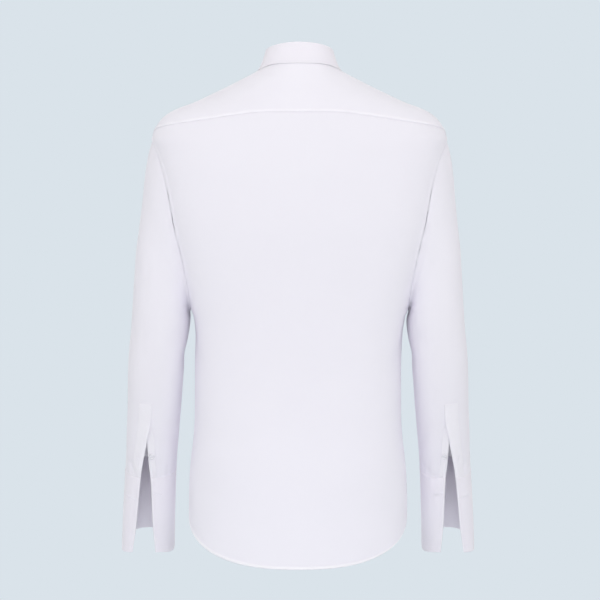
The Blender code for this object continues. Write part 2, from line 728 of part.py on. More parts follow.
def smooth_sleeve_point(angle, step):
    """The left sleeve: angle is 0 on its outer side and 90 at its back."""
    cut = {name: curve(step) for name, curve in SLEEVE_CURVES.items()}
    power = mix(ARMHOLE_END_ROUNDNESS, SLEEVE_ROUNDNESS, ease(step / ROUNDNESS_STEP))
    cosine = rounded(math.cos(math.radians(angle)), power)
    sine = rounded(math.sin(math.radians(angle)), power)
    x = mix(cut["inner_x"], cut["outer_x"], (1 + cosine) / 2)
    drop = mix(cut["inner_drop"], cut["outer_drop"], (1 + cosine) / 2)
    forward = cut["half_depth"] * sine
    tilt = cut["pitch"] * forward - cut["bow"] * forward**2
    point = Vector((x, cut["middle_y"] + forward, -drop - tilt))
    blend = (1 - min(step / ARMHOLE_BLEND_STEP, 1.0)) ** 2
    if blend:
        first = SLEEVE[0]
        plain = Vector((
            mix(first.inner_x, first.outer_x, (1 + cosine) / 2),
            first.middle_y + first.half_depth * sine,
            -mix(first.inner_drop, first.outer_drop, (1 + cosine) / 2),
        ))
        seam = smooth_body_point(*armhole(angle))
        point += (seam - plain) * blend
    return point


def sleeve_normal(angle, step):
    step = max(step, 0.02)
    return -surface_normal(smooth_sleeve_point, angle, step, 0.5, 0.02)


SLEEVE_FOLD_ENDS = [
    (smooth_sleeve_point(f.angle_a, f.step_a), smooth_sleeve_point(f.angle_b, f.step_b))
    for f in SLEEVE_FOLDS
]


def body_side(y, drop):
    """How far out the side of the body lies at a place from front to back."""
    depth = BACK_DEPTH(drop) if y > 0 else FRONT_DEPTH(drop)
    share = min(abs(y) / depth, 1.0)
    power = ring_power(y > 0, drop)
    return HALF_WIDTH(drop) * (1 - share**power) ** (1 / power)


def sleeve_point(side_name, angle, step, lift=0.0):
    """A point of the sleeve, which stays just clear of the body below its seam."""
    point = smooth_sleeve_point(angle, step)
    lift += fold_lift(point, SLEEVE_FOLD_ENDS, SLEEVE_FOLDS)
    if lift:
        point += sleeve_normal(angle, step) * lift
    point.x += 2 * SEAM
    point.y -= 1.5 * SEAM * math.sin(math.radians(angle))
    point.z -= 1.5 * SEAM * math.cos(math.radians(angle))
    point.x -= SWING[side_name] * ease(step / SWING_STEP)
    clearance = mix(2 * SEAM, SLEEVE_CLEARANCE, ease(step / 2))
    point.x = max(point.x, body_side(point.y, -point.z) + clearance)
    point.x *= SIDES[side_name]
    return point


def cut_edges(step):
    """The angles of the sleeve's two cut edges, which meet at the top of the opening."""
    gauntlet_shift = GAUNTLET_EDGE(step) - GAUNTLET_EDGE(OPENING_TOP_STEP)
    underlap_shift = UNDERLAP_EDGE(step) - UNDERLAP_EDGE(OPENING_TOP_STEP)
    cut_angle = mix(ARMHOLE_CUT_ANGLE, CUT_ANGLE, ease(step / OPENING_TOP_STEP))
    return cut_angle + gauntlet_shift, cut_angle + underlap_shift


def build_sleeve(side_name):
    def place(u, v):
        row = round(v * (SLEEVE_UPPER_ROWS + SLEEVE_LOWER_ROWS))
        if row <= SLEEVE_UPPER_ROWS:
            step = OPENING_TOP_STEP * row / SLEEVE_UPPER_ROWS
        else:
            share = (row - SLEEVE_UPPER_ROWS) / SLEEVE_LOWER_ROWS
            step = mix(OPENING_TOP_STEP, CUFF_SEAM_STEP - STEP_GAP, share)
        outer, inner = cut_edges(step)
        return sleeve_point(side_name, mix(outer, inner - 360.0, u), step)

    grid = Grid(ARMHOLE_COLUMNS, SLEEVE_UPPER_ROWS + SLEEVE_LOWER_ROWS)
    sheet("sleeve_" + side_name, grid, place, CLOTH, SIDES[side_name] < 0, weld=True)


def build_gauntlet(side_name):
    """The half at the free edge lies over the underlap, and the other half on the sleeve."""
    low = SEAM + STRIP
    high = low + SEAM + STRIP

    def place(u, v):
        step = mix(GAUNTLET_TOP_STEP, CUFF_SEAM_STEP - STEP_GAP, v)
        angle = GAUNTLET_EDGE(step) - GAUNTLET_ANGLE * u
        lift = high if u <= 0.5 else low
        return sleeve_point(side_name, angle, step, lift)

    sheet("gauntlet_" + side_name, GAUNTLET_GRID, place, STRIP, SIDES[side_name] < 0)


def build_underlap(side_name):
    def place(u, v):
        step = mix(UNDERLAP_TOP_STEP, CUFF_SEAM_STEP - STEP_GAP, v)
        angle = UNDERLAP_EDGE(step) + UNDERLAP_ANGLE * (1 - u)
        return sleeve_point(side_name, angle, step, SEAM + STRIP)

    sheet("underlap_" + side_name, UNDERLAP_GRID, place, STRIP, SIDES[side_name] < 0)


def build_cuff(side_name):
    def place(u, v):
        step = mix(CUFF_SEAM_STEP + STEP_GAP, CUFF_HEM_STEP, v)
        gauntlet_edge = GAUNTLET_EDGE(step)
        underlap_edge = UNDERLAP_EDGE(step) - 360.0
        return sleeve_point(side_name, mix(gauntlet_edge, underlap_edge, u), step, SEAM)

    sheet("cuff_" + side_name, CUFF_GRID, place, FUSED, SIDES[side_name] < 0)


def build_button(name, radius, place, outward):
    """A turned disc with a raised rim, its back at place and its face towards outward."""
    bm = bmesh.new()
    points = [
        bm.verts.new((radius * ring.radius, 0.0, BUTTON_THICKNESS * ring.height))
        for ring in BUTTON_PROFILE
    ]
    for start, end in zip(points, points[1:]):
        bm.edges.new((start, end))
    obj = add_object(name, bm, BUTTON_WHITE, 0.3)
    turning = obj.modifiers.new("turning", "SCREW")
    turning.axis = "Z"
    turning.steps = BUTTON_SIDES
    turning.render_steps = BUTTON_SIDES
    turning.use_merge_vertices = True
    turning.merge_threshold = 0.00005
    obj.location = place
    obj.rotation_euler = outward.to_track_quat("Z", "Y").to_euler()


def seat_on_front(name, low, high, drop):
    """Sews a button to the flat stretch of the centre front between two of its points."""
    share = (-drop - low.z) / (high.z - low.z)
    outward = Vector((1.0, 0.0, 0.0)).cross(high - low).normalized()
    build_button(name, BUTTON_RADIUS, low.lerp(high, share) + outward * SEAM, outward)


def build_buttons():
    rows = SIDE_SEAM_ROWS + FRONT_ARMHOLE_ROWS
    centre_drops = [drop_at(lap_line(0.0, row / rows)[1]) for row in range(rows + 1)]
    centre = [body_point(180.0, drop) for drop in centre_drops]
    for number in range(FRONT_BUTTONS):
        drop = FIRST_BUTTON_DROP + BUTTON_SPACING * number
        above = next(i for i, centre_drop in enumerate(centre_drops) if centre_drop < drop)
        seat_on_front(f"button_front_{number + 1}", centre[above - 1], centre[above], drop)
    stand_low, stand_high = stand_point(180.0, 0.0), stand_point(180.0, 1.0)
    seat_on_front("button_collar", stand_low, stand_high, COLLAR_BUTTON_DROP)
    for side_name, side in SIDES.items():
        angle = UNDERLAP_EDGE(PLACKET_BUTTON_STEP) + PLACKET_BUTTON_ANGLE
        lift = 2 * SEAM + STRIP
        place = sleeve_point(side_name, angle, PLACKET_BUTTON_STEP, lift)
        outward = sleeve_normal(angle, PLACKET_BUTTON_STEP)
        outward.x *= side
        build_button("button_placket_" + side_name, SMALL_BUTTON_RADIUS, place, outward)


def main():
    for obj in list(bpy.data.objects):
        bpy.data.objects.remove(obj)
    collection = bpy.data.collections.new(OBJECT_NAME)
    bpy.context.scene.collection.children.link(collection)
    build_back()
    build_yoke()
    build_stand()
    build_leaf()
    for side_name in SIDES:
        build_front(side_name)
        build_sleeve(side_name)
        build_gauntlet(side_name)
        build_underlap(side_name)
        build_cuff(side_name)
    build_buttons()


main()
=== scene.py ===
"""The looks of a white long sleeve dress shirt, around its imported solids, seen from its back.

Metres, +Z up. The wearer faces -Y, so the camera stands at +Y. The origin is the middle of the
neck where the collar joins the back. Each cloth piece is a thin shell: a fine grid laid on one
of the smooth surfaces that the solids have, the body, the collar or a sleeve, with its seams,
hems and creases moved out or in from there.
"""
import math
from collections import namedtuple
from functools import partial

import bmesh
import bpy
import numpy as np
from mathutils import Matrix, Vector
from mathutils.kdtree import KDTree


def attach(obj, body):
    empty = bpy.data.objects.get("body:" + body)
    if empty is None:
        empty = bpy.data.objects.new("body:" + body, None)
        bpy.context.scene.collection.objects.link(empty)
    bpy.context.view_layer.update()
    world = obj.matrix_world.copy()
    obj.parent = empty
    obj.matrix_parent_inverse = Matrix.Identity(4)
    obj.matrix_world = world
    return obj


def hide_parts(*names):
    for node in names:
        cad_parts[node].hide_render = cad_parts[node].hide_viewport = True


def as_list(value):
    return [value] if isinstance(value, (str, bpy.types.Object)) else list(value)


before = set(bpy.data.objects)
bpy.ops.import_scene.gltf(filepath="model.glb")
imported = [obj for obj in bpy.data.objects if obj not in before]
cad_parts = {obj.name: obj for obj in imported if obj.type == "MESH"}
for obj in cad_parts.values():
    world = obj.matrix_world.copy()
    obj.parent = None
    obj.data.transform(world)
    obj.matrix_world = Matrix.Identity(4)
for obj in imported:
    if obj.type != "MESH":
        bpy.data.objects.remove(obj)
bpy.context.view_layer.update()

# ---- sizes

def table(kind, text):
    """Rows of numbers, one to a line."""
    return tuple(kind(*map(float, line.split())) for line in text.strip().splitlines())


# The body, as level rings from the neck down. Each ring is a rounded oval, flatter at the back.
Ring = namedtuple("Ring", "drop half_width back_depth front_depth roundness")
BODY = table(Ring, """
0.0000 0.0530 0.0560 0.0120 2.25
0.0080 0.0557 0.0620 0.0215 2.25
0.0105 0.0597 0.0637 0.0260 2.25
0.0135 0.0645 0.0660 0.0302 2.25
0.0178 0.0715 0.0690 0.0342 2.25
0.0290 0.0928 0.0760 0.0425 2.30
0.0418 0.1178 0.0830 0.0518 2.35
0.0546 0.1440 0.0890 0.0602 2.50
0.0674 0.1712 0.0942 0.0686 2.65
0.0770 0.1965 0.0975 0.0748 2.80
0.0850 0.2110 0.1000 0.0802 3.00
0.0946 0.2213 0.1030 0.0872 3.20
0.1060 0.2283 0.1062 0.0955 3.40
0.1186 0.2330 0.1090 0.1030 3.60
0.1262 0.2345 0.1105 0.1070 3.70
0.1450 0.2300 0.1135 0.1145 3.80
0.1835 0.2225 0.1172 0.1250 3.80
0.2580 0.2090 0.1180 0.1320 3.70
0.3270 0.1895 0.1125 0.1300 3.60
0.3650 0.1790 0.1090 0.1280 3.50
0.3970 0.1715 0.1065 0.1250 3.40
0.4150 0.1668 0.1055 0.1240 3.30
0.4450 0.1645 0.1045 0.1220 3.20
0.5000 0.1640 0.1040 0.1185 3.00
0.5700 0.1645 0.1070 0.1185 2.75
0.6000 0.1664 0.1090 0.1190 2.60
0.6300 0.1700 0.1115 0.1205 2.50
0.6650 0.1728 0.1138 0.1215 2.35
0.7100 0.1740 0.1155 0.1220 2.20
0.8050 0.1745 0.1165 0.1215 2.10
""")
FRONT_ROUNDNESS_SHARE = 0.5
PROFILE_SAMPLES = 800

# The neck seam falls a little to the sides and then to the front.
NECK_SIDE_DROP = 0.008
NECK_FRONT_DROP = 0.075

# The armhole is a rounded loop about the side of the body. A turn counts degrees round it
# from its top, positive towards the back.
ARMHOLE_TOP = 0.1262
ARMHOLE_BOTTOM = 0.3970
ARMHOLE_BACK_ANGLE = 20.5
ARMHOLE_FRONT_ANGLE = 24.0
ARMHOLE_ROUNDNESS = 2.6
ARMPIT_DIP = 0.012
ARMPIT_SHARE = 0.54

# The yoke seam across the back, by angle from centre back, to the top of the armhole.
SeamPoint = namedtuple("SeamPoint", "angle drop")
YOKE_SEAM = table(SeamPoint, """
0.0 0.0879
22.0 0.0879
33.6 0.0885
46.2 0.0930
58.2 0.0998
69.0 0.1064
76.0 0.1095
83.0 0.1150
90.0 0.1262
""")
YOKE_SEAM_SHARE = 0.846
YOKE_FRONT_ANGLE = 118.0
YOKE_FRONT_TURN = -30.0
YOKE_FRONT_SHARE = 0.6

# The shirt-tail hem, rounded up to the side seams. The front's starts just past the side.
HEM_SIDE_DROP = 0.7200
HEM_BACK_DROP = 0.8006
HEM_FRONT_DROP = 0.7820
HEM_ROUNDNESS = 2.45
TAIL_SWING = 0.0024
TAIL_SWING_DEPTH = 0.10
EDGE_FADE = 4
FRONT_START = 90.001

# The fronts overlap about the centre line, left over right.
LAP = 0.016
LAP_TUCK = 0.010
LAP_START = LAP + LAP_TUCK
LAP_END = 0.125
LAP_TRIES = 10

# The collar.
STAND_HEIGHT = 0.0249
STAND_FRONT_RISE = 0.0035
STAND_LEAN = 0.0035
STAND_GAP = 0.0006
STAND_FOOT = -0.03
LEAF_FOLD_ANGLE = 176.5
LEAF_POINT_ANGLE = 157.0
LEAF_LIFT = 0.0008
LEAF_REACH = 0.0021
LEAF_SPREAD = 0.0020
LEAF_EDGE_SPREAD = 0.0010
LEAF_EDGE_WALL = 0.0006
LEAF_TAPER = 0.006
LEAF_BOW = 0.0035
LEAF_ROLL_SHARE = 0.16
LEAF_ROLL_START = -70.0
LEAF_INNER_GAP = 0.0004
LEAF_SPREAD_START = 0.7
LEAF_SPREAD_LENGTH = 0.3
LeafEdge = namedtuple("LeafEdge", "share drop")
LEAF_EDGE = table(LeafEdge, """
0.00 0.0080
0.22 0.0086
0.34 0.0106
0.42 0.0130
0.48 0.0145
0.58 0.0156
0.66 0.0205
0.74 0.0360
0.82 0.0590
0.90 0.0850
1.00 0.1220
""")

# The left sleeve, as rings that fan out round the armpit and then go down the arm. Outer and
# inner are the ring's two sides; pitch and bow tilt and curve it from back to front.
Cut = namedtuple("Cut", "outer_x outer_drop inner_x inner_drop middle_y half_depth pitch bow")
SLEEVE = table(Cut, """
0.2345 0.1262 0.1722 0.3970 -0.008 0.0580 0.00 0.0
0.2413 0.1500 0.1735 0.3990 -0.006 0.0595 0.00 0.0
0.2467 0.1830 0.1740 0.4015 -0.004 0.0610 0.00 0.0
0.2507 0.2220 0.1745 0.4050 -0.003 0.0620 0.00 0.0
0.2555 0.2620 0.1750 0.4095 -0.001 0.0625 0.00 0.0
0.2610 0.3050 0.1755 0.4160 0.001 0.0620 0.00 0.0
0.2640 0.3500 0.1770 0.4290 0.003 0.0600 0.02 0.0
0.2667 0.3950 0.1800 0.4470 0.004 0.0575 0.04 0.0
0.2690 0.4300 0.1828 0.4660 0.004 0.0550 0.06 0.0
0.2725 0.4650 0.1850 0.4880 0.003 0.0525 0.09 0.0
0.2744 0.5050 0.1875 0.5150 -0.001 0.0500 0.13 0.0
0.2752 0.5450 0.1900 0.5480 -0.008 0.0480 0.18 0.0
0.2774 0.5900 0.1938 0.5900 -0.018 0.0460 0.25 0.0
0.2803 0.6500 0.1988 0.6500 -0.034 0.0440 0.33 0.0
0.2855 0.7250 0.2020 0.7250 -0.055 0.0430 0.36 2.5
0.2885 0.7820 0.2037 0.7820 -0.072 0.0430 0.38 5.8
""")
ARMHOLE_END_ROUNDNESS = 2.1
SLEEVE_ROUNDNESS = 2.5
ROUNDNESS_STEP = 5.0
CUFF_SEAM_STEP = 13.0
CUFF_HEM_STEP = 15.0
ARMHOLE_BLEND_STEP = 6.0
SWING = {"left": 0.0, "right": 0.0045}
SWING_STEP = 7.0
SLEEVE_CLEARANCE = 0.003
CLEARANCE_STEP = 2.0
SIDES = {"left": 1, "right": -1}

# The sleeve's back opening: the angles of the free edges of its two strips.
Opening = namedtuple("Opening", "step gauntlet underlap")
OPENING = table(Opening, """
10.00 89.4 78.0
11.27 89.4 78.0
12.17 84.0 85.0
13.00 75.3 91.0
14.25 68.9 98.5
15.00 61.8 104.3
""")
OPENING_TOP_STEP = 11.27
ARMHOLE_CUT_ANGLE = 75.0
CUT_ANGLE = 81.5
GAUNTLET_TOP_STEP = 10.78
GAUNTLET_ANGLE = 26.0
UNDERLAP_TOP_STEP = 11.20
UNDERLAP_ANGLE = 10.4

# Folds: the two ends on the surface, how wide, and how far in (negative) or out.
Fold = namedtuple("Fold", "angle_a step_a angle_b step_b width depth")
SLEEVE_FOLDS = table(Fold, """
150.0 6.4 100.0 8.0 0.016 -0.0022
205.0 7.6 150.0 8.8 0.014 -0.0024
285.0 6.9 235.0 8.3 0.017 -0.0030
260.0 8.9 205.0 8.5 0.013 -0.0026
320.0 8.6 270.0 9.5 0.016 -0.0024
300.0 11.0 250.0 12.1 0.015 -0.0018
""")
BODY_FOLDS = table(Fold, """
84.0 0.410 62.0 0.520 0.018 -0.0022
100.0 0.415 128.0 0.560 0.020 -0.0028
112.0 0.340 140.0 0.420 0.020 -0.0022
80.0 0.640 70.0 0.740 0.020 0.0018
""")

# Creases that are too small for the solids. The right sleeve has its own, a little different.
SLEEVE_CREASES = table(Fold, """
168.0 0.5 133.0 4.2 0.0040 -0.0018
172.0 2.2 128.0 5.4 0.0055 -0.0016
160.0 1.2 131.0 4.9 0.0035 0.0009
196.0 1.0 238.0 4.4 0.0060 -0.0018
40.0 12.60 60.0 13.02 0.0045 -0.0026
93.0 12.66 99.0 13.16 0.0035 -0.0020
104.0 13.03 168.0 12.78 0.0050 -0.0032
116.0 11.40 172.0 12.75 0.0090 -0.0020
8.0 12.30 -22.0 12.95 0.0080 -0.0014
250.0 9.9 212.0 10.9 0.0100 -0.0016
318.0 7.1 292.0 7.9 0.0090 -0.0016
""")
RIGHT_SHIFT = 3.5
RIGHT_STEP_SHIFT = -0.06
RIGHT_DEPTH_SHARE = 0.85
BODY_CREASES = table(Fold, """
108.0 0.395 121.0 0.455 0.0080 -0.0014
132.0 0.170 150.0 0.225 0.0120 -0.0013
150.0 0.430 172.0 0.405 0.0110 -0.0010
156.0 0.560 174.0 0.585 0.0100 -0.0011
96.0 0.560 104.0 0.665 0.0120 -0.0014
""")

# Puckers where the sleeve is eased into the cuff: how far each reaches up, and how deep.
Pucker = namedtuple("Pucker", "angle reach depth")
PUCKERS = table(Pucker, """
-44.0 0.34 -0.0009
-21.0 0.24 -0.0006
-3.0 0.38 -0.0010
17.0 0.22 -0.0006
31.0 0.30 -0.0007
112.0 0.26 -0.0006
131.0 0.36 -0.0010
149.0 0.22 -0.0005
170.0 0.31 -0.0008
196.0 0.40 -0.0010
214.0 0.24 -0.0006
241.0 0.33 -0.0009
263.0 0.21 -0.0005
287.0 0.36 -0.0009
""")
PUCKER_WIDTH = 0.0034
PUCKER_LEAN = 2.5
PUCKER_BELOW = 0.20

# Walls, and the bands where the cloth is folded and sewn.
CLOTH = 0.0005
FUSED = 0.0013
STRIP = 0.0006
LAYER_GAP = 0.0001
TUCK = 0.005
TUCK_FADE = 12
UNDER = 0.0008
BAND_STEP = 0.0010
BAND_EDGE = 0.40
BAND_RISE = 0.0006
HEM_BAND = 0.0055
SEAM_BAND = 0.0060
ARMHOLE_BAND = 0.0080
# Keeps the armhole band from the brighter colour of doubled cloth, which is partly a painted
# highlight.
ARMHOLE_DIM = 0.95
UNDERARM_BAND = 0.0032
UNDERARM_SHARE = 0.708
UNDERARM_SPREAD = 0.020
UNDERARM_START = 0.15
YOKE_STEP = 0.001
YOKE_REACH = 0.020
# The share of the doubled cloth's brighter colour, partly a painted highlight, on the yoke's bands.
YOKE_BAND_SHARE = 0.4
YOKE_EDGE_SINK = 0.65
# The share of the doubled cloth's brighter colour, partly a painted highlight, on the sleeve's
# strips.
STRIP_LAYERS_AND_HIGHLIGHT = 0.35
LIP = 0.0014
LIP_SINK = 0.6
WELD = 1e-5

# Where the cloth of the sleeve and its strips sinks in or lifts off, by steps down the arm.
HEAD_DIP = 0.0021
HEAD_DIP_REACH = 0.0027
HEAD_DIP_START = 0.8
HEAD_UNDER_STEP = 0.12
CUFF_SINK_STEP = 0.03
CUFF_LIFT = 0.0005
CUFF_PRESS = 0.12
SLEEVE_IN_CUFF = 0.06
STRIP_IN_CUFF = 0.05
OVERLAP_SHARE = 0.35
OVERLAP_FADE = 0.25
OVERLAP_START = 0.05
OVERLAP_RISE = 0.15
GAUNTLET_SPRING = 0.0028
GAUNTLET_SPRING_SHARE = 0.3
GAUNTLET_SPRING_STEPS = (11.30, 12.25)

# The grids: cells, the rough lengths that they divide, and plain counts of rows and columns.
CELL = 0.0042
SLEEVE_CELL = 0.0028
GAUNTLET_CELL = 0.0022
LEAF_CELL = 0.002
STRIP_CELL = 0.0015
FINE_CELL = 0.0008
FINE_MARGIN = 0.0030
BACK_HALF_WIDTH = 0.24
FRONT_WIDTH = 0.23
PANEL_HEIGHT = 0.70
YOKE_HALF_WIDTH = 0.26
YOKE_HEIGHT = 0.10
LEAF_HEIGHT = 0.045
SLEEVE_LENGTH = 0.50
SLEEVE_TOP_BAND = 0.004
GAUNTLET_LENGTH = 0.12
GAUNTLET_WIDTH = 0.021
UNDERLAP_WIDTH = 0.011
CUFF_HEIGHT = 0.135
CUFF_WIDTH = 0.24
STAND_COLUMNS = 200
STAND_ROWS = 18
LEAF_COLUMNS = 260
LEAF_ROLLS = 12
SLEEVE_COLUMNS = (84, 13, 34)
OPENING_ROWS = 56
UNDERLAP_ROWS = 50

# Stitches, each a short tapered tube: along, up and thick at four places.
ROW_INSET = 0.0008
STITCH_PITCH = 0.0027
STITCH_LENGTH = 0.0021
STITCH_RADIUS = 0.00019
STITCH_ALONG = np.array((-1.0, -0.6, 0.6, 1.0))
STITCH_UP = np.array((-0.00010, 0.00011, 0.00011, -0.00010))
STITCH_THICK = np.array((0.35, 1.0, 1.0, 0.35))
STITCH_SIDES = 4
LINE_POINTS = 700
SHORT_ROW_POINTS = 60
HEM_ROWS = {"back": (-89.0, 89.0), "left": (91.0, 178.0), "right": (91.0, 172.0)}
ARMHOLE_ROWS = {"back": (4.0, 172.0), "front": (190.0, 327.0), "yoke": (-27.0, 0.0)}
SIDE_ROW_DROPS = (0.716, 0.408)
YOKE_ROW_ANGLE = 87.5
YOKE_FRONT_ROW = (0.03, 0.97)
LEAF_ROW = 0.006
LEAF_ROW_MARGIN = 0.02
LEAF_ROW_OVERLAP = 0.5
LEAF_LEVELS = 100
STAND_ROW_SHARE = 0.09
STAND_ROW_ANGLE = 1.5
SLEEVE_ROW_STEPS = (0.8, CUFF_SEAM_STEP - 0.02)
SLEEVE_ROW_SHARE = 0.0095
SLEEVE_ROW_LIFT = 0.0004
CUFF_ROW = 0.005
CUFF_ROW_STEPS = (CUFF_SEAM_STEP + 0.03, CUFF_HEM_STEP - 0.08)
CUFF_LEVEL_ROWS = ((CUFF_SEAM_STEP, 0.0016, 1.5), (CUFF_HEM_STEP, -CUFF_ROW, 6.0))
STRIP_ROW = 0.0016
STRIP_ROW_END = CUFF_SEAM_STEP - 0.01
STRIP_ROW_ANGLE = 2.5
GAUNTLET_ROW_STEPS = (GAUNTLET_TOP_STEP + 0.03, 11.00, 11.11, 11.24, 11.38)
UNDERLAP_ROW_START = OPENING_TOP_STEP + 0.1

# Small moves along a surface, to find its directions: in metres, degrees and steps.
PROBE = 0.0001
ANGLE_PROBE = 0.05
LEAF_PROBE = 0.1
BODY_PROBE = (0.4, 0.0005)
BODY_TOP = 0.0006
SLEEVE_PROBE = (0.5, 0.02)

# The weave, the depth to which light goes in, and the brighter colour of doubled cloth, which is
# partly a painted highlight on the hem and seam bands.
YARN = 0.0005
SKIN_DEPTH = 0.0015
DOUBLE_CLOTH_AND_HIGHLIGHT = (0.925, 0.900, 0.965)

# Buttonholes, each worked along a line between two places on its cloth.
Slit = namedtuple("Slit", "angle_a step_a angle_b step_b")
CUFF_SLITS = table(Slit, """
35.0 13.45 66.5 13.49
97.0 13.34 114.0 13.41
""")
GAUNTLET_SLIT = Slit(66.4, 12.49, 70.0, 12.70)
SLIT_HALF_WIDTH = 0.00080
SLIT_THREAD = 0.00050
SLIT_RIPPLE = 0.20
SLIT_STITCH = 0.00045
SLIT_POINTS = 24
FRONT_SLIT = 0.0150
COLLAR_SLIT_ANGLE = 8.0

# Buttons: turned discs with a raised rim and four holes. Shares of the radius and thickness.
ButtonRing = namedtuple("ButtonRing", "radius height")
BUTTON_PROFILE = table(ButtonRing, """
0.58 0.60
0.68 0.64
0.76 0.88
0.86 1.00
0.94 0.95
1.00 0.72
0.99 0.38
0.92 0.10
0.80 0.00
""")
BUTTON_RADIUS = 0.00575
SMALL_BUTTON_RADIUS = 0.0045
BUTTON_THICKNESS = 0.0026
BUTTON_WELL = BUTTON_THICKNESS * BUTTON_PROFILE[0].height
BUTTON_SIDES = 48
BUTTON_SHARP_ANGLE = 35
BUTTON_LIFT = 0.0006
HOLE_SIDES = 12
HOLE_RADIUS = 0.13
HOLE_PLACE = 0.20
SEAT_SPAN = 0.004
FIRST_BUTTON_DROP = 0.135
BUTTON_SPACING = 0.090
FRONT_BUTTONS = 6
COLLAR_BUTTON_DROP = 0.0605
PLACKET_BUTTON_STEP = 12.48
PLACKET_BUTTON_ANGLE = 3.9
STRAND_SIDES = 6
STRAND_RADIUS = 0.05
STRAND_SHIFT = 0.055
STRAND_ARCH = 0.16
STRAND_TURNS = ((math.pi / 4, 1.0), (3 * math.pi / 4, 1.9))
STRAND_PLACES = np.array((-1.0, -1.0, -0.94, -0.7, -0.3, 0.3, 0.7, 0.94, 1.0, 1.0))
STRAND_HEIGHTS = np.array((-1.4, -0.2, 0.45, 0.9, 1.0, 1.0, 0.9, 0.45, -0.2, -1.4))

# The photo's frame: 600 pixels across, with the shirt's middle at column 299.5.
IMAGE_WIDTH = 600
FOCAL_PIXELS = 2500.0
SENSOR_WIDTH = 36.0
CAMERA_PLACE = (-0.0008, 4.0, -0.381)
BACKDROP = (0.701, 0.768, 0.823)
ROOM_LIGHT = (0.78, 0.78, 0.78)
LIGHT_TARGET = (0.0, 0.0, -0.25)
FLOOR_RADIUS = 2.4
FLOOR_SIDES = 128
FLOOR_DROP = 1.5

Softbox = namedtuple("Softbox", "name place size spread power")
SOFTBOXES = (
    Softbox("key", (0.0, 4.4, 0.7), 1.2, 36.0, 2.1),
    Softbox("left_fill", (1.7, 4.2, 0.1), 1.8, 180.0, 12.0),
    Softbox("right_fill", (-1.7, 4.2, 0.1), 1.8, 180.0, 12.0),
    Softbox("top", (0.0, 0.6, 2.8), 2.4, 180.0, 3.0),
    Softbox("front", (0.0, -4.2, 0.4), 1.8, 180.0, 38.0),
)


# ---- curves

def smooth_curve(rows, column):
    """A curve through one column of a table, with no overshoot between its rows."""
    keys = np.array([row[0] for row in rows])
    values = np.array([getattr(row, column) for row in rows])
    steps = np.diff(keys)
    slopes = np.diff(values) / steps
    tangents = np.zeros(len(keys))
    tangents[0] = slopes[0]
    tangents[-1] = slopes[-1]
    for i in range(1, len(keys) - 1):
        if slopes[i - 1] * slopes[i] > 0:
            before = 2 * steps[i] + steps[i - 1]
            after = steps[i] + 2 * steps[i - 1]
            tangents[i] = (before + after) / (before / slopes[i - 1] + after / slopes[i])

    def curve(key):
        key = np.clip(key, keys[0], keys[-1])
        i = np.clip(np.searchsorted(keys, key, "right") - 1, 0, len(steps) - 1)
        t = (key - keys[i]) / steps[i]
        rise = t * t * (3 - 2 * t)
        bend_in = t * (1 - t) ** 2 * steps[i] * tangents[i]
        bend_out = t * t * (t - 1) * steps[i] * tangents[i + 1]
        return values[i] * (1 - rise) + values[i + 1] * rise + bend_in + bend_out

    return curve


def numbered(rows):
    """The table with each row's number put first, to be looked up by a step along it."""
    numbered_row = namedtuple("NumberedRow", ("step",) + rows[0]._fields)
    return [numbered_row(float(i), *row) for i, row in enumerate(rows)]


def mix(a, b, share):
    return a + (b - a) * share


def ease(t):
    t = np.clip(t, 0.0, 1.0)
    return t * t * (3 - 2 * t)


def rounded(value, roundness):
    """A sine or cosine bent so that a circle becomes a rounded oval."""
    return np.sign(value) * np.abs(value) ** (2 / roundness)


def stack(x, y, z):
    return np.stack(np.broadcast_arrays(x, y, z), axis=-1).astype(float)


def unit(vectors):
    return vectors / np.linalg.norm(vectors, axis=-1, keepdims=True)


def dot(a, b):
    return (a * b).sum(axis=-1)


def size(vectors):
    return np.linalg.norm(vectors, axis=-1)


def running(steps):
    """The sums of the steps up to each point, from 0 at the first one."""
    return np.concatenate(([0.0], np.cumsum(steps)))


HALF_WIDTH = smooth_curve(BODY, "half_width")
BACK_DEPTH = smooth_curve(BODY, "back_depth")
FRONT_DEPTH = smooth_curve(BODY, "front_depth")
ROUNDNESS = smooth_curve(BODY, "roundness")
YOKE_SEAM_DROP = smooth_curve(YOKE_SEAM, "drop")
LEAF_EDGE_DROP = smooth_curve(LEAF_EDGE, "drop")
GAUNTLET_EDGE = smooth_curve(OPENING, "gauntlet")
UNDERLAP_EDGE = smooth_curve(OPENING, "underlap")
SLEEVE_CURVES = {name: smooth_curve(numbered(SLEEVE), name) for name in Cut._fields}

# Lengths along the body's side outline, which space the rows where the shoulder is flat.
PROFILE_DROPS = np.linspace(BODY[0].drop, BODY[-1].drop, PROFILE_SAMPLES)
PROFILE_STEPS = np.hypot(np.diff(PROFILE_DROPS), np.diff(HALF_WIDTH(PROFILE_DROPS)))
PROFILE_LENGTHS = running(PROFILE_STEPS)


def length_at(drop):
    return np.interp(drop, PROFILE_DROPS, PROFILE_LENGTHS)


def drop_at(length):
    return np.interp(length, PROFILE_LENGTHS, PROFILE_DROPS)


# ---- surfaces

def ring_power(at_back, drop):
    """How flat a ring is. 2 is an ellipse."""
    power = ROUNDNESS(drop)
    return np.where(at_back, power, 2 + (power - 2) * FRONT_ROUNDNESS_SHARE)


def body_radius(angle, drop):
    sine = np.abs(np.sin(np.radians(angle)))
    cosine = np.cos(np.radians(angle))
    depth = np.where(cosine > 0, BACK_DEPTH(drop), FRONT_DEPTH(drop))
    power = ring_power(cosine > 0, drop)
    total = (sine / HALF_WIDTH(drop)) ** power + (np.abs(cosine) / depth) ** power
    return total ** (-1 / power)


def smooth_body(angle, drop):
    radius = body_radius(angle, drop)
    turn = np.radians(angle)
    return stack(radius * np.sin(turn), radius * np.cos(turn), -drop)


def surface_normal(surface, a, b, step_a, step_b):
    across = surface(a + step_a, b) - surface(a - step_a, b)
    along = surface(a, b + step_b) - surface(a, b - step_b)
    return unit(np.cross(across, along))


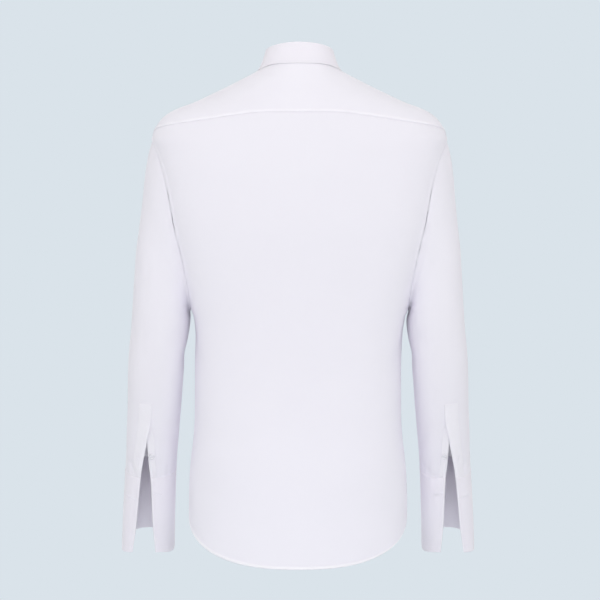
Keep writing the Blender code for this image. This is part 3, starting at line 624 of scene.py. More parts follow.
def body_normal(angle, drop):
    """Points out of the body. The step stays inside the table at its upper end."""
    return surface_normal(smooth_body, angle, np.maximum(drop, BODY_TOP), *BODY_PROBE)


def fold_lift(points, ends, folds):
    """How far the folds move points out; each fades towards its two ends."""
    lift = np.zeros(points.shape[:-1])
    for (start, end), fold in zip(ends, folds):
        line = end - start
        share = dot(points - start, line) / dot(line, line)
        distance = size(points - start - line * share[..., None])
        fade = np.clip(1 - (2 * share - 1) ** 2, 0, None)
        lift += fold.depth * fade * np.exp(-((distance / fold.width) ** 2))
    return lift


def fold_ends(surface, folds):
    return [(surface(f.angle_a, f.step_a), surface(f.angle_b, f.step_b)) for f in folds]


BODY_FOLDS += BODY_CREASES
BODY_FOLD_ENDS = fold_ends(smooth_body, BODY_FOLDS)


def body(angle, drop, lift=0.0):
    """Points of the body at angles from centre back, positive towards +X."""
    points = smooth_body(angle, drop)
    mirrored = points * np.where(points[..., :1] < 0, (-1, 1, 1), (1, 1, 1))
    total = lift + fold_lift(mirrored, BODY_FOLD_ENDS, BODY_FOLDS)
    points += body_normal(angle, drop) * total[..., None]
    points[..., 0] += TAIL_SWING * ease((drop - ARMHOLE_BOTTOM) / TAIL_SWING_DEPTH)
    return points


def body_by_length(angle, length):
    return body(angle, drop_at(length))


def neck_drop(angle):
    turn = np.radians(angle)
    side = NECK_SIDE_DROP * np.sin(turn) ** 2
    front = NECK_SIDE_DROP + (NECK_FRONT_DROP - NECK_SIDE_DROP) * np.cos(turn) ** 2
    return np.where(np.cos(turn) >= 0, side, front)


def armhole(turn):
    """The armhole's angle and drop; turn is 0 at the shoulder, 90 at the back, 180 below."""
    sine = rounded(np.sin(np.radians(turn)), ARMHOLE_ROUNDNESS)
    cosine = rounded(np.cos(np.radians(turn)), ARMHOLE_ROUNDNESS)
    middle = (ARMHOLE_TOP + ARMHOLE_BOTTOM) / 2
    half_height = (ARMHOLE_BOTTOM - ARMHOLE_TOP) / 2
    spread = np.where(sine > 0, ARMHOLE_BACK_ANGLE, ARMHOLE_FRONT_ANGLE)
    return 90.0 - spread * sine, middle - half_height * cosine


def hem_drop(angle):
    centre = np.where(np.abs(angle) <= 90, HEM_BACK_DROP, HEM_FRONT_DROP)
    sideways = np.abs(smooth_body(angle, HEM_SIDE_DROP)[..., 0])
    share = np.minimum(sideways / HALF_WIDTH(HEM_SIDE_DROP), 1.0)
    height = (1 - share**HEM_ROUNDNESS) ** (1 / HEM_ROUNDNESS)
    return mix(HEM_SIDE_DROP, centre, height)


def smooth_sleeve(angle, step):
    """The left sleeve: angle is 0 on its outer side and 90 at its back."""
    cut = {name: curve(step) for name, curve in SLEEVE_CURVES.items()}
    power = mix(ARMHOLE_END_ROUNDNESS, SLEEVE_ROUNDNESS, ease(step / ROUNDNESS_STEP))
    cosine = rounded(np.cos(np.radians(angle)), power)
    sine = rounded(np.sin(np.radians(angle)), power)
    x = mix(cut["inner_x"], cut["outer_x"], (1 + cosine) / 2)
    drop = mix(cut["inner_drop"], cut["outer_drop"], (1 + cosine) / 2)
    forward = cut["half_depth"] * sine
    tilt = cut["pitch"] * forward - cut["bow"] * forward**2
    points = stack(x, cut["middle_y"] + forward, -drop - tilt)
    first = SLEEVE[0]
    plain = stack(
        mix(first.inner_x, first.outer_x, (1 + cosine) / 2),
        first.middle_y + first.half_depth * sine,
        -mix(first.inner_drop, first.outer_drop, (1 + cosine) / 2),
    )
    blend = (1 - np.clip(step / ARMHOLE_BLEND_STEP, 0, 1)) ** 2
    return points + (smooth_body(*armhole(angle)) - plain) * stack(blend, blend, blend)


def sleeve_normal(angle, step):
    step = np.maximum(step, SLEEVE_PROBE[1])
    return -surface_normal(smooth_sleeve, angle, step, *SLEEVE_PROBE)


def pucker_fold(pucker):
    """A fold up the sleeve, deepest at the cuff's seam."""
    low = CUFF_SEAM_STEP + PUCKER_BELOW
    high = CUFF_SEAM_STEP - pucker.reach
    lean = pucker.angle + PUCKER_LEAN * math.sin(pucker.angle)
    return Fold(pucker.angle, low, lean, high, PUCKER_WIDTH, pucker.depth)


def uneven(fold):
    """The right sleeve's version of a crease."""
    return fold._replace(
        angle_a=fold.angle_a + RIGHT_SHIFT,
        angle_b=fold.angle_b - RIGHT_SHIFT,
        step_b=fold.step_b + RIGHT_STEP_SHIFT,
        depth=fold.depth * RIGHT_DEPTH_SHARE,
    )


SMALL_FOLDS = SLEEVE_CREASES + tuple(pucker_fold(pucker) for pucker in PUCKERS)
SIDE_FOLDS = {
    "left": SLEEVE_FOLDS + SMALL_FOLDS,
    "right": SLEEVE_FOLDS + tuple(uneven(fold) for fold in SMALL_FOLDS),
}
SIDE_FOLD_ENDS = {name: fold_ends(smooth_sleeve, folds) for name, folds in SIDE_FOLDS.items()}


def body_side(y, drop):
    """How far out the side of the body lies at a place from front to back."""
    depth = np.where(y > 0, BACK_DEPTH(drop), FRONT_DEPTH(drop))
    share = np.minimum(np.abs(y) / depth, 1.0)
    power = ring_power(y > 0, drop)
    return HALF_WIDTH(drop) * (1 - share**power) ** (1 / power)


def sleeve(side_name, angle, step, lift=0.0):
    """Points of a sleeve, which stays just clear of the body below its seam."""
    points = smooth_sleeve(angle, step)
    total = lift + fold_lift(points, SIDE_FOLD_ENDS[side_name], SIDE_FOLDS[side_name])
    points += sleeve_normal(angle, step) * total[..., None]
    points[..., 0] -= SWING[side_name] * ease(step / SWING_STEP)
    clearance = SLEEVE_CLEARANCE * ease(step / CLEARANCE_STEP)
    side = body_side(points[..., 1], -points[..., 2])
    points[..., 0] = np.maximum(points[..., 0], side + clearance)
    points[..., 0] *= SIDES[side_name]
    return points


# ---- materials

def add_node(tree, kind, **settings):
    node = tree.nodes.new(kind)
    for name, value in settings.items():
        setattr(node, name, value)
    return node


def set_sockets(node, values):
    for name, value in values.items():
        node.inputs[name].default_value = value


def new_material(name, values):
    """A material with constants on its shader's own sockets."""
    material = bpy.data.materials.new(name)
    material.use_nodes = True
    shader = material.node_tree.nodes["Principled BSDF"]
    set_sockets(shader, values)
    return material, material.node_tree, shader


def math_node(tree, operation, *values):
    """Each value is a number or a node's output."""
    node = add_node(tree, "ShaderNodeMath", operation=operation)
    for socket, value in zip(node.inputs, values):
        if isinstance(value, float):
            socket.default_value = value
        else:
            tree.links.new(value, socket)
    return node.outputs[0]


def noise(tree, scale, detail):
    place = add_node(tree, "ShaderNodeTexCoord")
    found = add_node(tree, "ShaderNodeTexNoise")
    set_sockets(found, {"Scale": scale, "Detail": detail})
    tree.links.new(place.outputs["Object"], found.inputs["Vector"])
    return found.outputs[0]


def blend(tree, factor, low, high):
    """A colour between two others, each given as numbers or as a node's output."""
    colours = add_node(tree, "ShaderNodeMix", data_type="RGBA")
    for name, value in (("A", low), ("B", high)):
        if isinstance(value, tuple):
            colours.inputs[name].default_value = (*value, 1.0)
        else:
            tree.links.new(value, colours.inputs[name])
    tree.links.new(factor, colours.inputs["Factor"])
    return colours.outputs["Result"]


def paint(tree, shader, factor, low, high):
    tree.links.new(blend(tree, factor, low, high), shader.inputs["Base Color"])


def roughen(tree, shader, height, strength, distance):
    bump = add_node(tree, "ShaderNodeBump")
    set_sockets(bump, {"Strength": strength, "Distance": distance})
    tree.links.new(height, bump.inputs["Height"])
    tree.links.new(bump.outputs[0], shader.inputs["Normal"])


def shirting(name, low, high):
    """Poplin: a plain weave of fine yarns, white with a touch of lavender."""
    material, tree, shader = new_material(name, {
        "Roughness": 0.85,
        "Subsurface Weight": 0.5,
        "Subsurface Radius": (1.0, 1.0, 1.0),
        "Subsurface Scale": SKIN_DEPTH,
        "Specular IOR Level": 0.25,
        "Sheen Weight": 0.12,
        "Sheen Roughness": 0.5,
    })
    grain = add_node(tree, "ShaderNodeAttribute", attribute_name="grain")
    parts = add_node(tree, "ShaderNodeSeparateXYZ")
    tree.links.new(grain.outputs["Vector"], parts.inputs[0])
    turns = [math_node(tree, "MULTIPLY", parts.outputs[i], 2 * math.pi / YARN) for i in range(2)]
    warp, weft = [math_node(tree, "SINE", turn) for turn in turns]
    weave = math_node(tree, "MULTIPLY", warp, weft)
    height = math_node(tree, "ADD", weave, noise(tree, scale=900.0, detail=2.0))
    roughen(tree, shader, height, strength=0.25, distance=0.00008)
    single = blend(tree, noise(tree, scale=7.0, detail=3.0), low, high)
    # Brighter where the cloth is doubled: partly real double cloth, partly a painted highlight on
    # the hem and seam bands.
    paint(tree, shader, parts.outputs[2], single, DOUBLE_CLOTH_AND_HIGHLIGHT)
    return material


def thread():
    """Twisted cotton thread, a little brighter than the cloth."""
    values = {"Roughness": 0.6, "Sheen Weight": 0.3}
    material, tree, shader = new_material("thread", values)
    roughen(tree, shader, noise(tree, scale=3000.0, detail=2.0), strength=0.4, distance=0.00005)
    tint = noise(tree, scale=400.0, detail=2.0)
    paint(tree, shader, tint, (0.850, 0.830, 0.900), (0.900, 0.880, 0.945))
    return material


def button_gloss():
    """Satin white, with the faint clouds of a moulded pearl button."""
    values = {"Roughness": 0.28, "Coat Weight": 0.25}
    material, tree, shader = new_material("button_gloss", values)
    clouds = noise(tree, scale=260.0, detail=3.0)
    paint(tree, shader, clouds, (0.760, 0.750, 0.800), (0.850, 0.840, 0.885))
    roughness = math_node(tree, "MULTIPLY", clouds, 0.22)
    tree.links.new(math_node(tree, "ADD", roughness, 0.16), shader.inputs["Roughness"])
    roughen(tree, shader, noise(tree, scale=1400.0, detail=2.0), strength=0.12, distance=0.00005)
    return material


def floor_paint():
    material, tree, shader = new_material("floor_paint", {"Roughness": 0.75})
    tint = noise(tree, scale=3.0, detail=4.0)
    paint(tree, shader, tint, (0.735, 0.785, 0.825), (0.750, 0.800, 0.838))
    roughen(tree, shader, noise(tree, scale=60.0, detail=3.0), strength=0.10, distance=0.0005)
    return material


LOOKS = {
    "cloth": shirting("shirting", (0.864, 0.836, 0.926), (0.880, 0.854, 0.941)),
    "fused": shirting("fused_shirting", (0.834, 0.805, 0.868), (0.850, 0.823, 0.883)),
    "thread": thread(),
    "button": button_gloss(),
}


# ---- the cloth

def shares(length, cell, first_band=None, last_band=None):
    """Shares from 0 to 1 along a length, with close ones over the bands at its two ends."""
    fine = [0.0 if width is None else width + FINE_MARGIN for width in (first_band, last_band)]
    first, last = fine[0], length - fine[1]
    parts = [
        np.linspace(0.0, first, round(first / FINE_CELL) + 1)[:-1],
        np.linspace(first, last, max(round((last - first) / cell), 1)),
        np.linspace(last, length, round(fine[1] / FINE_CELL) + 1)[1:],
    ]
    return np.concatenate(parts) / length


def patch(u, v, bottom, top, left, right):
    """Points inside four edge curves, each giving an angle and a length down the body.

    Straight rows run from the left edge to the right edge, and bend to the curves of the
    bottom and the top edge only near those.
    """
    near_bottom = (1 - v) ** EDGE_FADE
    near_top = v**EDGE_FADE
    found = []
    for i in range(2):
        value = mix(left(v)[i], right(v)[i], u)
        value += (bottom(u)[i] - mix(left(0.0)[i], right(0.0)[i], u)) * near_bottom
        value += (top(u)[i] - mix(left(1.0)[i], right(1.0)[i], u)) * near_top
        found.append(value)
    return found


def mirrored_patch(half, levels, *edges):
    """The angles, lengths and drops of a grid over a half panel and its mirror image."""
    u, v = np.meshgrid(np.concatenate((-half[:0:-1], half)), levels)
    angle, length = patch(np.abs(u), v, *edges)
    return np.copysign(angle, u), length, drop_at(length)


def distance_to(points, line):
    """The distance of each point from a line that is given by close points."""
    tree = KDTree(len(line))
    for i, place in enumerate(line):
        tree.insert(place, i)
    tree.balance()
    found = [tree.find(place)[2] for place in points.reshape(-1, 3)]
    return np.array(found).reshape(points.shape[:-1])


def mirrored_distance(points, line):
    """The distance from a line or from its mirror image, whichever is on the point's side."""
    return distance_to(np.abs(points * (1, 0, 0)) + points * (0, 1, 1), line)


def band(distance, width):
    """How far a folded and stitched band along an edge stands up."""
    inside = 1 - ease((distance - width + BAND_STEP / 2) / BAND_STEP)
    bulge = np.sin(np.pi * np.clip(distance / width, 0.0, 1.0))
    return BAND_RISE * inside * mix(BAND_EDGE, 1.0, bulge)


def doubled_and_highlight(rise, arm):
    """How much brighter a band is painted: partly as it is folded double, partly as a painted
    highlight; the armhole's own band hardly gets it.
    """
    return (rise - ARMHOLE_DIM * arm) / BAND_RISE


def along_rows(points):
    """The length from the first column to each point of a grid."""
    return np.array([running(steps) for steps in size(np.diff(points, axis=1))])


def down_columns(points):
    return along_rows(points.swapaxes(0, 1)).T


def edge_distance(points, edges):
    """How far each point of a grid lies from the nearest of the edges that are named."""
    across = along_rows(points)
    down = down_columns(points)
    found = {
        "first_column": across,
        "last_column": across[:, -1:] - across,
        "first_row": down,
        "last_row": down[-1:] - down,
    }
    return np.min([found[edge] for edge in edges], axis=0)


def grid_normal(points, flip):
    across = np.gradient(points, axis=1)
    down = np.gradient(points, axis=0)
    return unit(np.cross(across, down)) * (-1 if flip else 1)


def finish_mesh(bm, mesh):
    bm.to_mesh(mesh)
    bm.free()
    return mesh


def add_object(name, data, place=(0.0, 0.0, 0.0), turn=(0.0, 0.0, 0.0)):
    obj = bpy.data.objects.new(name, data)
    obj.location = place
    obj.rotation_euler = turn
    bpy.context.scene.collection.objects.link(obj)
    return obj


def add_piece(mesh, look):
    mesh.materials.append(LOOKS[look])
    obj = add_object(mesh.name, mesh)
    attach(obj, "root")
    return obj


def cloth(node, points, thickness, look, flip, layers, weld, edges):
    """A thin shell from rows and columns of points on its outer face.

    The mask of doubled cloth and painted highlight is 0 where the cloth is single and 1 where it is
    folded or sewn double; it paints the cloth brighter there. The edges that are named are rounded
    over.
    """
    thickness = np.broadcast_to(thickness, points.shape[:2])
    if edges:
        near = 1 - np.clip(edge_distance(points, edges) / LIP, 0, 1)
        sink = LIP_SINK * thickness * (1 - np.sqrt(1 - near**2))
        points = points - grid_normal(points, flip) * sink[..., None]
        thickness = thickness - sink
    rows, columns = points.shape[:2]
    index = np.arange(rows * columns).reshape(rows, columns)
    corners = (index[:-1, :-1], index[:-1, 1:], index[1:, 1:], index[1:, :-1])
    faces = np.stack([corner.ravel() for corner in corners], axis=1)
    if flip:
        faces = faces[:, ::-1]
    mesh = bpy.data.meshes.new(node + "_cloth")
    mesh.from_pydata(points.reshape(-1, 3).tolist(), [], faces.tolist())
    across = along_rows(points)
    # The grain's third part is the mask of doubled cloth and painted highlight.
    grain = stack(across - across[:, columns // 2, None], down_columns(points), layers)
    attribute = mesh.attributes.new("grain", "FLOAT_VECTOR", "CORNER")
    attribute.data.foreach_set("vector", grain.reshape(-1, 3)[faces.ravel()].ravel())
    obj = add_piece(mesh, look)
    wall = obj.modifiers.new("wall", "SOLIDIFY")
    wall.offset = -1.0
    wall.thickness = float(thickness.max())
    group = obj.vertex_groups.new(name="thickness")
    for i, weight in enumerate((thickness / thickness.max()).ravel()):
        group.add([i], float(weight), "REPLACE")
    wall.vertex_group = group.name
    if weld:
        bm = bmesh.new()
        bm.from_mesh(mesh)
        bmesh.ops.remove_doubles(bm, verts=bm.verts, dist=WELD)
        finish_mesh(bm, mesh)
    mesh.shade_smooth()
    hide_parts(node)
    return obj


def panel(
    node, place, points, thickness, rows, rests_on,
    look="cloth", flip=True, layers=0.0, edges=(), weld=False, held="hung", slits=(), buttons=(),
):
    """A piece of cloth with its rows of stitches, buttonholes and buttons.

    A row or slit is a line on the surface that place gives, with its lift.
    """
    piece = cloth(node, points, thickness, look, flip, layers, weld, edges)
    trims = [stitches(node, [run(place, *row) for row in rows])]
    if slits:
        trims.append(buttonholes(node, [run(place, *slit) for slit in slits]))
    for button in buttons:
        trims += add_button(*button)
    length = down_columns(points)[-1].max()
    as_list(rests_on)


# ---- stitches, slits and buttons

def level(value):
    """The same value all along a line."""
    return np.full(LINE_POINTS, value)


def inset(surface, a, b, distance):
    """A line on a surface, moved sideways along the surface."""
    here = surface(a, b)
    along = unit(np.gradient(here, axis=0))
    side_a = (surface(a + ANGLE_PROBE, b) - surface(a - ANGLE_PROBE, b)) / (2 * ANGLE_PROBE)
    side_b = (surface(a, b + PROBE) - surface(a, b - PROBE)) / (2 * PROBE)
    move = np.cross(unit(np.cross(side_a, side_b)), along) * distance
    aa, ab, bb = dot(side_a, side_a), dot(side_a, side_b), dot(side_b, side_b)
    ma, mb = dot(move, side_a), dot(move, side_b)
    spread = aa * bb - ab * ab
    return a + (bb * ma - ab * mb) / spread, b + (aa * mb - ab * ma) / spread


def run(place, a, b, lift):
    """A line on a piece of cloth, and the direction out of the cloth at each point."""
    points = place(a, b, lift)
    return points, unit(place(a, b, lift + PROBE) - points)


def tube_faces(rings, sides, closed):
    """Faces of a tube, by the numbers of its points; an open one is capped."""
    index = np.arange(rings * sides).reshape(rings, sides)
    if closed:
        index = np.concatenate((index, index[:1]))
    low, high = index[:-1], index[1:]
    faces = np.stack((low, np.roll(low, -1, 1), np.roll(high, -1, 1), high), axis=-1)
    faces = faces.reshape(-1, 4).tolist()
    if not closed:
        faces += [index[0, ::-1].tolist(), index[-1].tolist()]
    return faces


def tubes(name, rings, closed=False):
    """One mesh of many tubes of thread, each a row of rings of points."""
    points = []
    faces = []
    for tube in rings:
        first = len(points)
        points += tube.reshape(-1, 3).tolist()
        faces += [[first + i for i in face] for face in tube_faces(*tube.shape[:2], closed)]
    mesh = bpy.data.meshes.new(name)
    mesh.from_pydata(points, [], faces)
    mesh.shade_smooth()
    return add_piece(mesh, "thread")


def circle(sides):
    """The cosines and sines of a circle's corners."""
    turns = 2 * np.pi * np.arange(sides) / sides
    return np.cos(turns), np.sin(turns)


def rings_about(middle, outward, along, radius, sides):
    """Rings of points about a line, with a radius for each of its points."""
    side = unit(np.cross(outward, along))
    up = np.cross(along, side)
    cosines, sines = circle(sides)
    ring = side[..., None, :] * cosines[:, None] + up[..., None, :] * sines[:, None]
    return middle[..., None, :] + ring * np.asarray(radius)[..., None, None]


def sampler(points, outward):
    """Looks up a line's points and outward directions by the length along it."""
    lengths = running(size(np.diff(points, axis=0)))

    def at(length):
        place, out = [
            np.stack([np.interp(length, lengths, found[:, i]) for i in range(3)], axis=-1)
            for found in (points, outward)
        ]
        return place, unit(out)

    return at, lengths[-1]


def stitches(node, runs):
    rings = []
    for points, outward in runs:
        at, total = sampler(points, outward)
        count = max(round(total / STITCH_PITCH), 1)
        centres = (np.arange(count) + 0.5) * total / count
        middle, out = at(centres[:, None] + STITCH_ALONG * STITCH_LENGTH / 2)
        along = unit(np.gradient(middle, axis=1))
        middle = middle + out * STITCH_UP[:, None]
        radius = STITCH_RADIUS * STITCH_THICK
        rings += list(rings_about(middle, out, along, radius, STITCH_SIDES))
    return tubes(node + "_stitches", rings)


def buttonholes(node, runs):
    """Slits edged with close satin stitches: a rippled tube round each."""
    rings = []
    for points, outward in runs:
        at, total = sampler(points, outward)
        straight = round(total / SLIT_STITCH)
        ends = round(np.pi * SLIT_HALF_WIDTH / SLIT_STITCH) + 1
        there = np.linspace(0.0, total, straight)
        side = np.ones(straight)
        turn = np.linspace(0.0, np.pi, ends + 2)[1:-1]
        bow = SLIT_HALF_WIDTH * np.sin(turn)
        length = np.concatenate((there, total + bow, there[::-1], -bow))
        offset = SLIT_HALF_WIDTH * np.concatenate((side, np.cos(turn), -side, -np.cos(turn)))
        middle, out = at(length)
        inside = np.clip(length, 0, total)
        line = unit(at(inside + PROBE)[0] - at(inside - PROBE)[0])
        beyond = length - inside
        middle = middle + line * beyond[:, None] + np.cross(out, line) * offset[:, None]
        along = unit(np.roll(middle, -1, axis=0) - np.roll(middle, 1, axis=0))
        ripple = 1 + SLIT_RIPPLE * np.where(np.arange(len(length)) % 2, 0.5, -0.5)
        rings.append(rings_about(middle, out, along, SLIT_THREAD * ripple, STRAND_SIDES))
    return tubes(node + "_buttonholes", rings, closed=True)


def slit_row(slit, lift):
    share = np.linspace(0.0, 1.0, SLIT_POINTS)
    return mix(slit.angle_a, slit.angle_b, share), mix(slit.step_a, slit.step_b, share), lift


def button_mesh(name, radius):
    """A turned disc with a raised rim and four holes, its back at 0 and its face up."""
    bm = bmesh.new()

    def add_loop(loop_radius, height, sides, x=0.0, y=0.0):
        cosines, sines = circle(sides)
        xs = x + loop_radius * cosines
        ys = y + loop_radius * sines
        return [bm.verts.new((px, py, height)) for px, py in zip(xs, ys)]

    def bridge(low, high):
        for i in range(len(low)):
            bm.faces.new((low[i - 1], low[i], high[i], high[i - 1]))

    def fill(loops):
        edges = [bm.edges.get((loop[i - 1], loop[i])) for loop in loops for i in range(len(loop))]
        bmesh.ops.triangle_fill(bm, use_beauty=True, edges=edges)

    profile = [
        add_loop(radius * ring.radius, BUTTON_THICKNESS * ring.height, BUTTON_SIDES)
        for ring in BUTTON_PROFILE
    ]
    for high, low in zip(profile, profile[1:]):
        bridge(low, high)
    place = HOLE_PLACE * radius
    tops = []
    bottoms = []
    for x, y in ((place, place), (-place, place), (-place, -place), (place, -place)):
        tops.append(add_loop(HOLE_RADIUS * radius, BUTTON_WELL, HOLE_SIDES, x, y))
        bottoms.append(add_loop(HOLE_RADIUS * radius, 0.0, HOLE_SIDES, x, y))
        bridge(tops[-1], bottoms[-1])
    fill([profile[0]] + tops)
    fill([profile[-1]] + bottoms)
    bmesh.ops.recalc_face_normals(bm, faces=bm.faces)
    mesh = finish_mesh(bm, bpy.data.meshes.new(name))
    mesh.shade_smooth()
    mesh.set_sharp_from_angle(angle=math.radians(BUTTON_SHARP_ANGLE))
    return mesh


def strand_rings(radius):
    """The thread that crosses the button between its holes, as two strands each way."""
    rings = []
    reach = math.sqrt(2) * HOLE_PLACE * radius
    for turn, height_share in STRAND_TURNS:
        line = np.array((math.cos(turn), math.sin(turn), 0.0))
        side = np.array((-line[1], line[0], 0.0))
        for shift in (-STRAND_SHIFT, STRAND_SHIFT):
            rise = radius * STRAND_ARCH * STRAND_HEIGHTS
            rise = np.where(rise > 0, rise * height_share, rise)
            middle = line * (reach * STRAND_PLACES)[:, None] + side * shift * radius
            middle[:, 2] = BUTTON_WELL + rise
            along = unit(np.gradient(middle, axis=0))
            thick = np.full(len(middle), STRAND_RADIUS * radius)
            rings.append(rings_about(middle, np.cross(along, side), along, thick, STRAND_SIDES))
    return rings


def add_button(node, radius, place, outward):
    """A button on its cloth, with its thread, in place of a node."""
    turn = Vector(outward).to_track_quat("Z", "Y").to_matrix().to_4x4()
    matrix = Matrix.Translation(Vector(place)) @ turn
    mesh = button_mesh(node + "_detail", radius)
    mesh.transform(matrix)
    button = add_piece(mesh, "button")
    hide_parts(node)
    strands = tubes(node + "_thread", strand_rings(radius))
    strands.data.transform(matrix)
    return [button, strands]


def front_seat(low, high, middle):
    """Where a button sits on the centre front, and its direction, by two points there."""
    outward = np.cross((1.0, 0.0, 0.0), unit(high - low))
    return middle + outward * BUTTON_LIFT, outward


# ---- the panels

def split(share, at):
    """The shares along the two parts of an edge, which meet at a share of it."""
    return np.minimum(share / at, 1.0), np.clip((share - at) / (1 - at), 0.0, 1.0)


def join(share, at, first, second):
    """The angle and length along an edge of two parts."""
    return [np.where(share < at, *pair) for pair in zip(first, second)]


def side_edge(v, first_turn, last_turn):
    """The panel's side: up the side seam to the armpit, then round the armhole."""
    seam_share, arm_share = split(v, ARMPIT_SHARE)
    seam_drop = mix(HEM_SIDE_DROP, ARMHOLE_BOTTOM, seam_share)
    angle, drop = armhole(mix(first_turn, last_turn, arm_share))
    return join(v, ARMPIT_SHARE, (90.0, length_at(seam_drop)), (angle, length_at(drop)))


def centre_length(v, low, high):
    """Up the middle of a panel, with the row at the armpit a little below the armpit."""
    armpit = length_at(ARMHOLE_BOTTOM + ARMPIT_DIP)
    below, above = split(v, ARMPIT_SHARE)
    return np.where(v < ARMPIT_SHARE, mix(low, armpit, below), mix(armpit, high, above))


def yoke_seam(share):
    angle = YOKE_SEAM[-1].angle * share
    return angle, length_at(YOKE_SEAM_DROP(angle))


def yoke_front_seam(share):
    """From the armhole to the neck."""
    armhole_angle, armhole_drop = armhole(YOKE_FRONT_TURN)
    neck_length = length_at(neck_drop(YOKE_FRONT_ANGLE))
    angle = mix(armhole_angle, YOKE_FRONT_ANGLE, share)
    return angle, mix(length_at(armhole_drop), neck_length, share)


SPREAD = np.linspace(0.0, 1.0, LINE_POINTS)
SIDE_SEAM_LINE = body(level(90.0), mix(HEM_SIDE_DROP, ARMHOLE_BOTTOM, SPREAD))
YOKE_SEAM_LINE = body_by_length(*yoke_seam(SPREAD))
YOKE_FRONT_LINE = body_by_length(*yoke_front_seam(SPREAD))
ARMHOLE_LINE = body(*armhole(360 * SPREAD))
HEM_BACK_LINE = body(90 * SPREAD, hem_drop(90 * SPREAD))
HEM_FRONT_LINE = body(90 + 90 * SPREAD, hem_drop(mix(FRONT_START, 180.0, SPREAD)))


def body_row(angle, drop, distance, width, more=0.0):
    """A row of stitches at a distance from a line, on the band of that width along it."""
    lift = float(band(np.array(abs(distance)), width)) + more
    return *inset(smooth_body, angle, drop, distance), lift


def hem_row(first_angle, last_angle):
    angle = mix(first_angle, last_angle, SPREAD)
    return body_row(angle, hem_drop(angle), ROW_INSET - HEM_BAND, HEM_BAND)


def armhole_row(first_turn, last_turn, more=0.0):
    line = armhole(mix(first_turn, last_turn, SPREAD))
    return body_row(*line, ARMHOLE_BAND - ROW_INSET, ARMHOLE_BAND, more)


def on_side(side, rows):
    return [(side * angle, drop, lift) for angle, drop, lift in rows]


def both_sides(*rows):
    return [row for side in SIDES.values() for row in on_side(side, rows)]


def under_yoke(distance):
    """0 outside the yoke's seam and 1 under the yoke, by the distance past the seam."""
    return ease((distance + YOKE_STEP / 2) / YOKE_STEP)


def build_back():
    def bottom(u):
        return 90.0 * u, length_at(hem_drop(90.0 * u))

    def top(u):
        angle, length = yoke_seam(u)
        return angle, length - TUCK * (1 - u**TUCK_FADE)

    def centre(v):
        return 0.0 * v, centre_length(v, bottom(0.0)[1], top(0.0)[1])

    def side(v):
        return side_edge(v, 180.0, 0.0)

    half = shares(BACK_HALF_WIDTH, CELL, last_band=ARMHOLE_BAND)
    levels = shares(PANEL_HEIGHT, CELL, HEM_BAND, TUCK)
    angle, length, drop = mirrored_patch(half, levels, bottom, top, centre, side)
    base = body(angle, drop)
    arm = band(mirrored_distance(base, ARMHOLE_LINE), ARMHOLE_BAND)
    hem = band(mirrored_distance(base, HEM_BACK_LINE), HEM_BAND)
    seam = band(mirrored_distance(base, SIDE_SEAM_LINE), SEAM_BAND)
    rise = np.maximum.reduce((hem, seam, arm))
    rise *= 1 - under_yoke(length_at(YOKE_SEAM_DROP(np.abs(angle))) - length)
    seam_drops = mix(*SIDE_ROW_DROPS, SPREAD)
    seam_row = body_row(level(90.0), seam_drops, ROW_INSET - SEAM_BAND, SEAM_BAND)
    arm_row = armhole_row(*ARMHOLE_ROWS["back"])
    rows = [hem_row(*HEM_ROWS["back"])] + both_sides(arm_row, seam_row)
    panel(
        "back", body, body(angle, drop, rise), CLOTH + rise, rows, ["yoke"],
        layers=doubled_and_highlight(rise, arm), edges=("first_row",),
    )


def yoke_lift(seam_distance):
    """The yoke lies over the back and the fronts at its seams."""
    return (CLOTH + LAYER_GAP) * (1 - ease(seam_distance / YOKE_REACH))


def build_yoke():
    def outer(u):
        seam_share, arm_share = split(u, YOKE_SEAM_SHARE)
        angle, drop = armhole(YOKE_FRONT_TURN * arm_share)
        return join(u, YOKE_SEAM_SHARE, yoke_seam(seam_share), (angle, length_at(drop)))

    def neck(u):
        angle = YOKE_FRONT_ANGLE * u
        return angle, length_at(neck_drop(angle))

    def centre(v):
        return 0.0 * v, mix(outer(0.0)[1], neck(0.0)[1], v)

    half = shares(YOKE_HALF_WIDTH, CELL, last_band=SEAM_BAND)
    levels = shares(YOKE_HEIGHT, CELL, ARMHOLE_BAND, 0.0)
    angle, _, drop = mirrored_patch(half, levels, outer, neck, centre, yoke_front_seam)
    base = body(angle, drop)
    seams = [mirrored_distance(base, line) for line in (YOKE_SEAM_LINE, YOKE_FRONT_LINE)]
    to_seam = np.minimum(*seams)
    arm = band(mirrored_distance(base, ARMHOLE_LINE), ARMHOLE_BAND)
    rise = np.maximum(band(to_seam, SEAM_BAND), arm)
    keep = 1 - YOKE_EDGE_SINK * (1 - ease(to_seam / LIP))

    row = SEAM_BAND - ROW_INSET
    more = float(yoke_lift(row))
    back_angle = mix(-YOKE_ROW_ANGLE, YOKE_ROW_ANGLE, SPREAD)
    back_row = body_row(back_angle, YOKE_SEAM_DROP(np.abs(back_angle)), -row, SEAM_BAND, more)
    front_angle, front_length = yoke_front_seam(mix(*YOKE_FRONT_ROW, SPREAD))
    front_row = body_row(front_angle, drop_at(front_length), row, SEAM_BAND, more)
    arm_row = armhole_row(*ARMHOLE_ROWS["yoke"], more)
    panel(
        "yoke", body, body(angle, drop, (yoke_lift(to_seam) + rise) * keep),
        (CLOTH + rise) * keep, [back_row] + both_sides(front_row, arm_row), [],
        layers=YOKE_BAND_SHARE * doubled_and_highlight(rise, arm),
    )


def angle_before_front(distance, drop):
    """The angle of the point that lies a distance short of the centre front."""
    return 180.0 - np.degrees(np.arcsin(distance / body_radius(180.0, drop)))


def lap_angle(distance, edge_drop):
    """Where the hem or the neck, given as a drop by angle, passes that distance."""
    angle = 180.0
    for _ in range(LAP_TRIES):
        angle = angle_before_front(distance, edge_drop(angle))
    return angle


def lap_ends(distance):
    return [length_at(edge(lap_angle(distance, edge))) for edge in (hem_drop, neck_drop)]


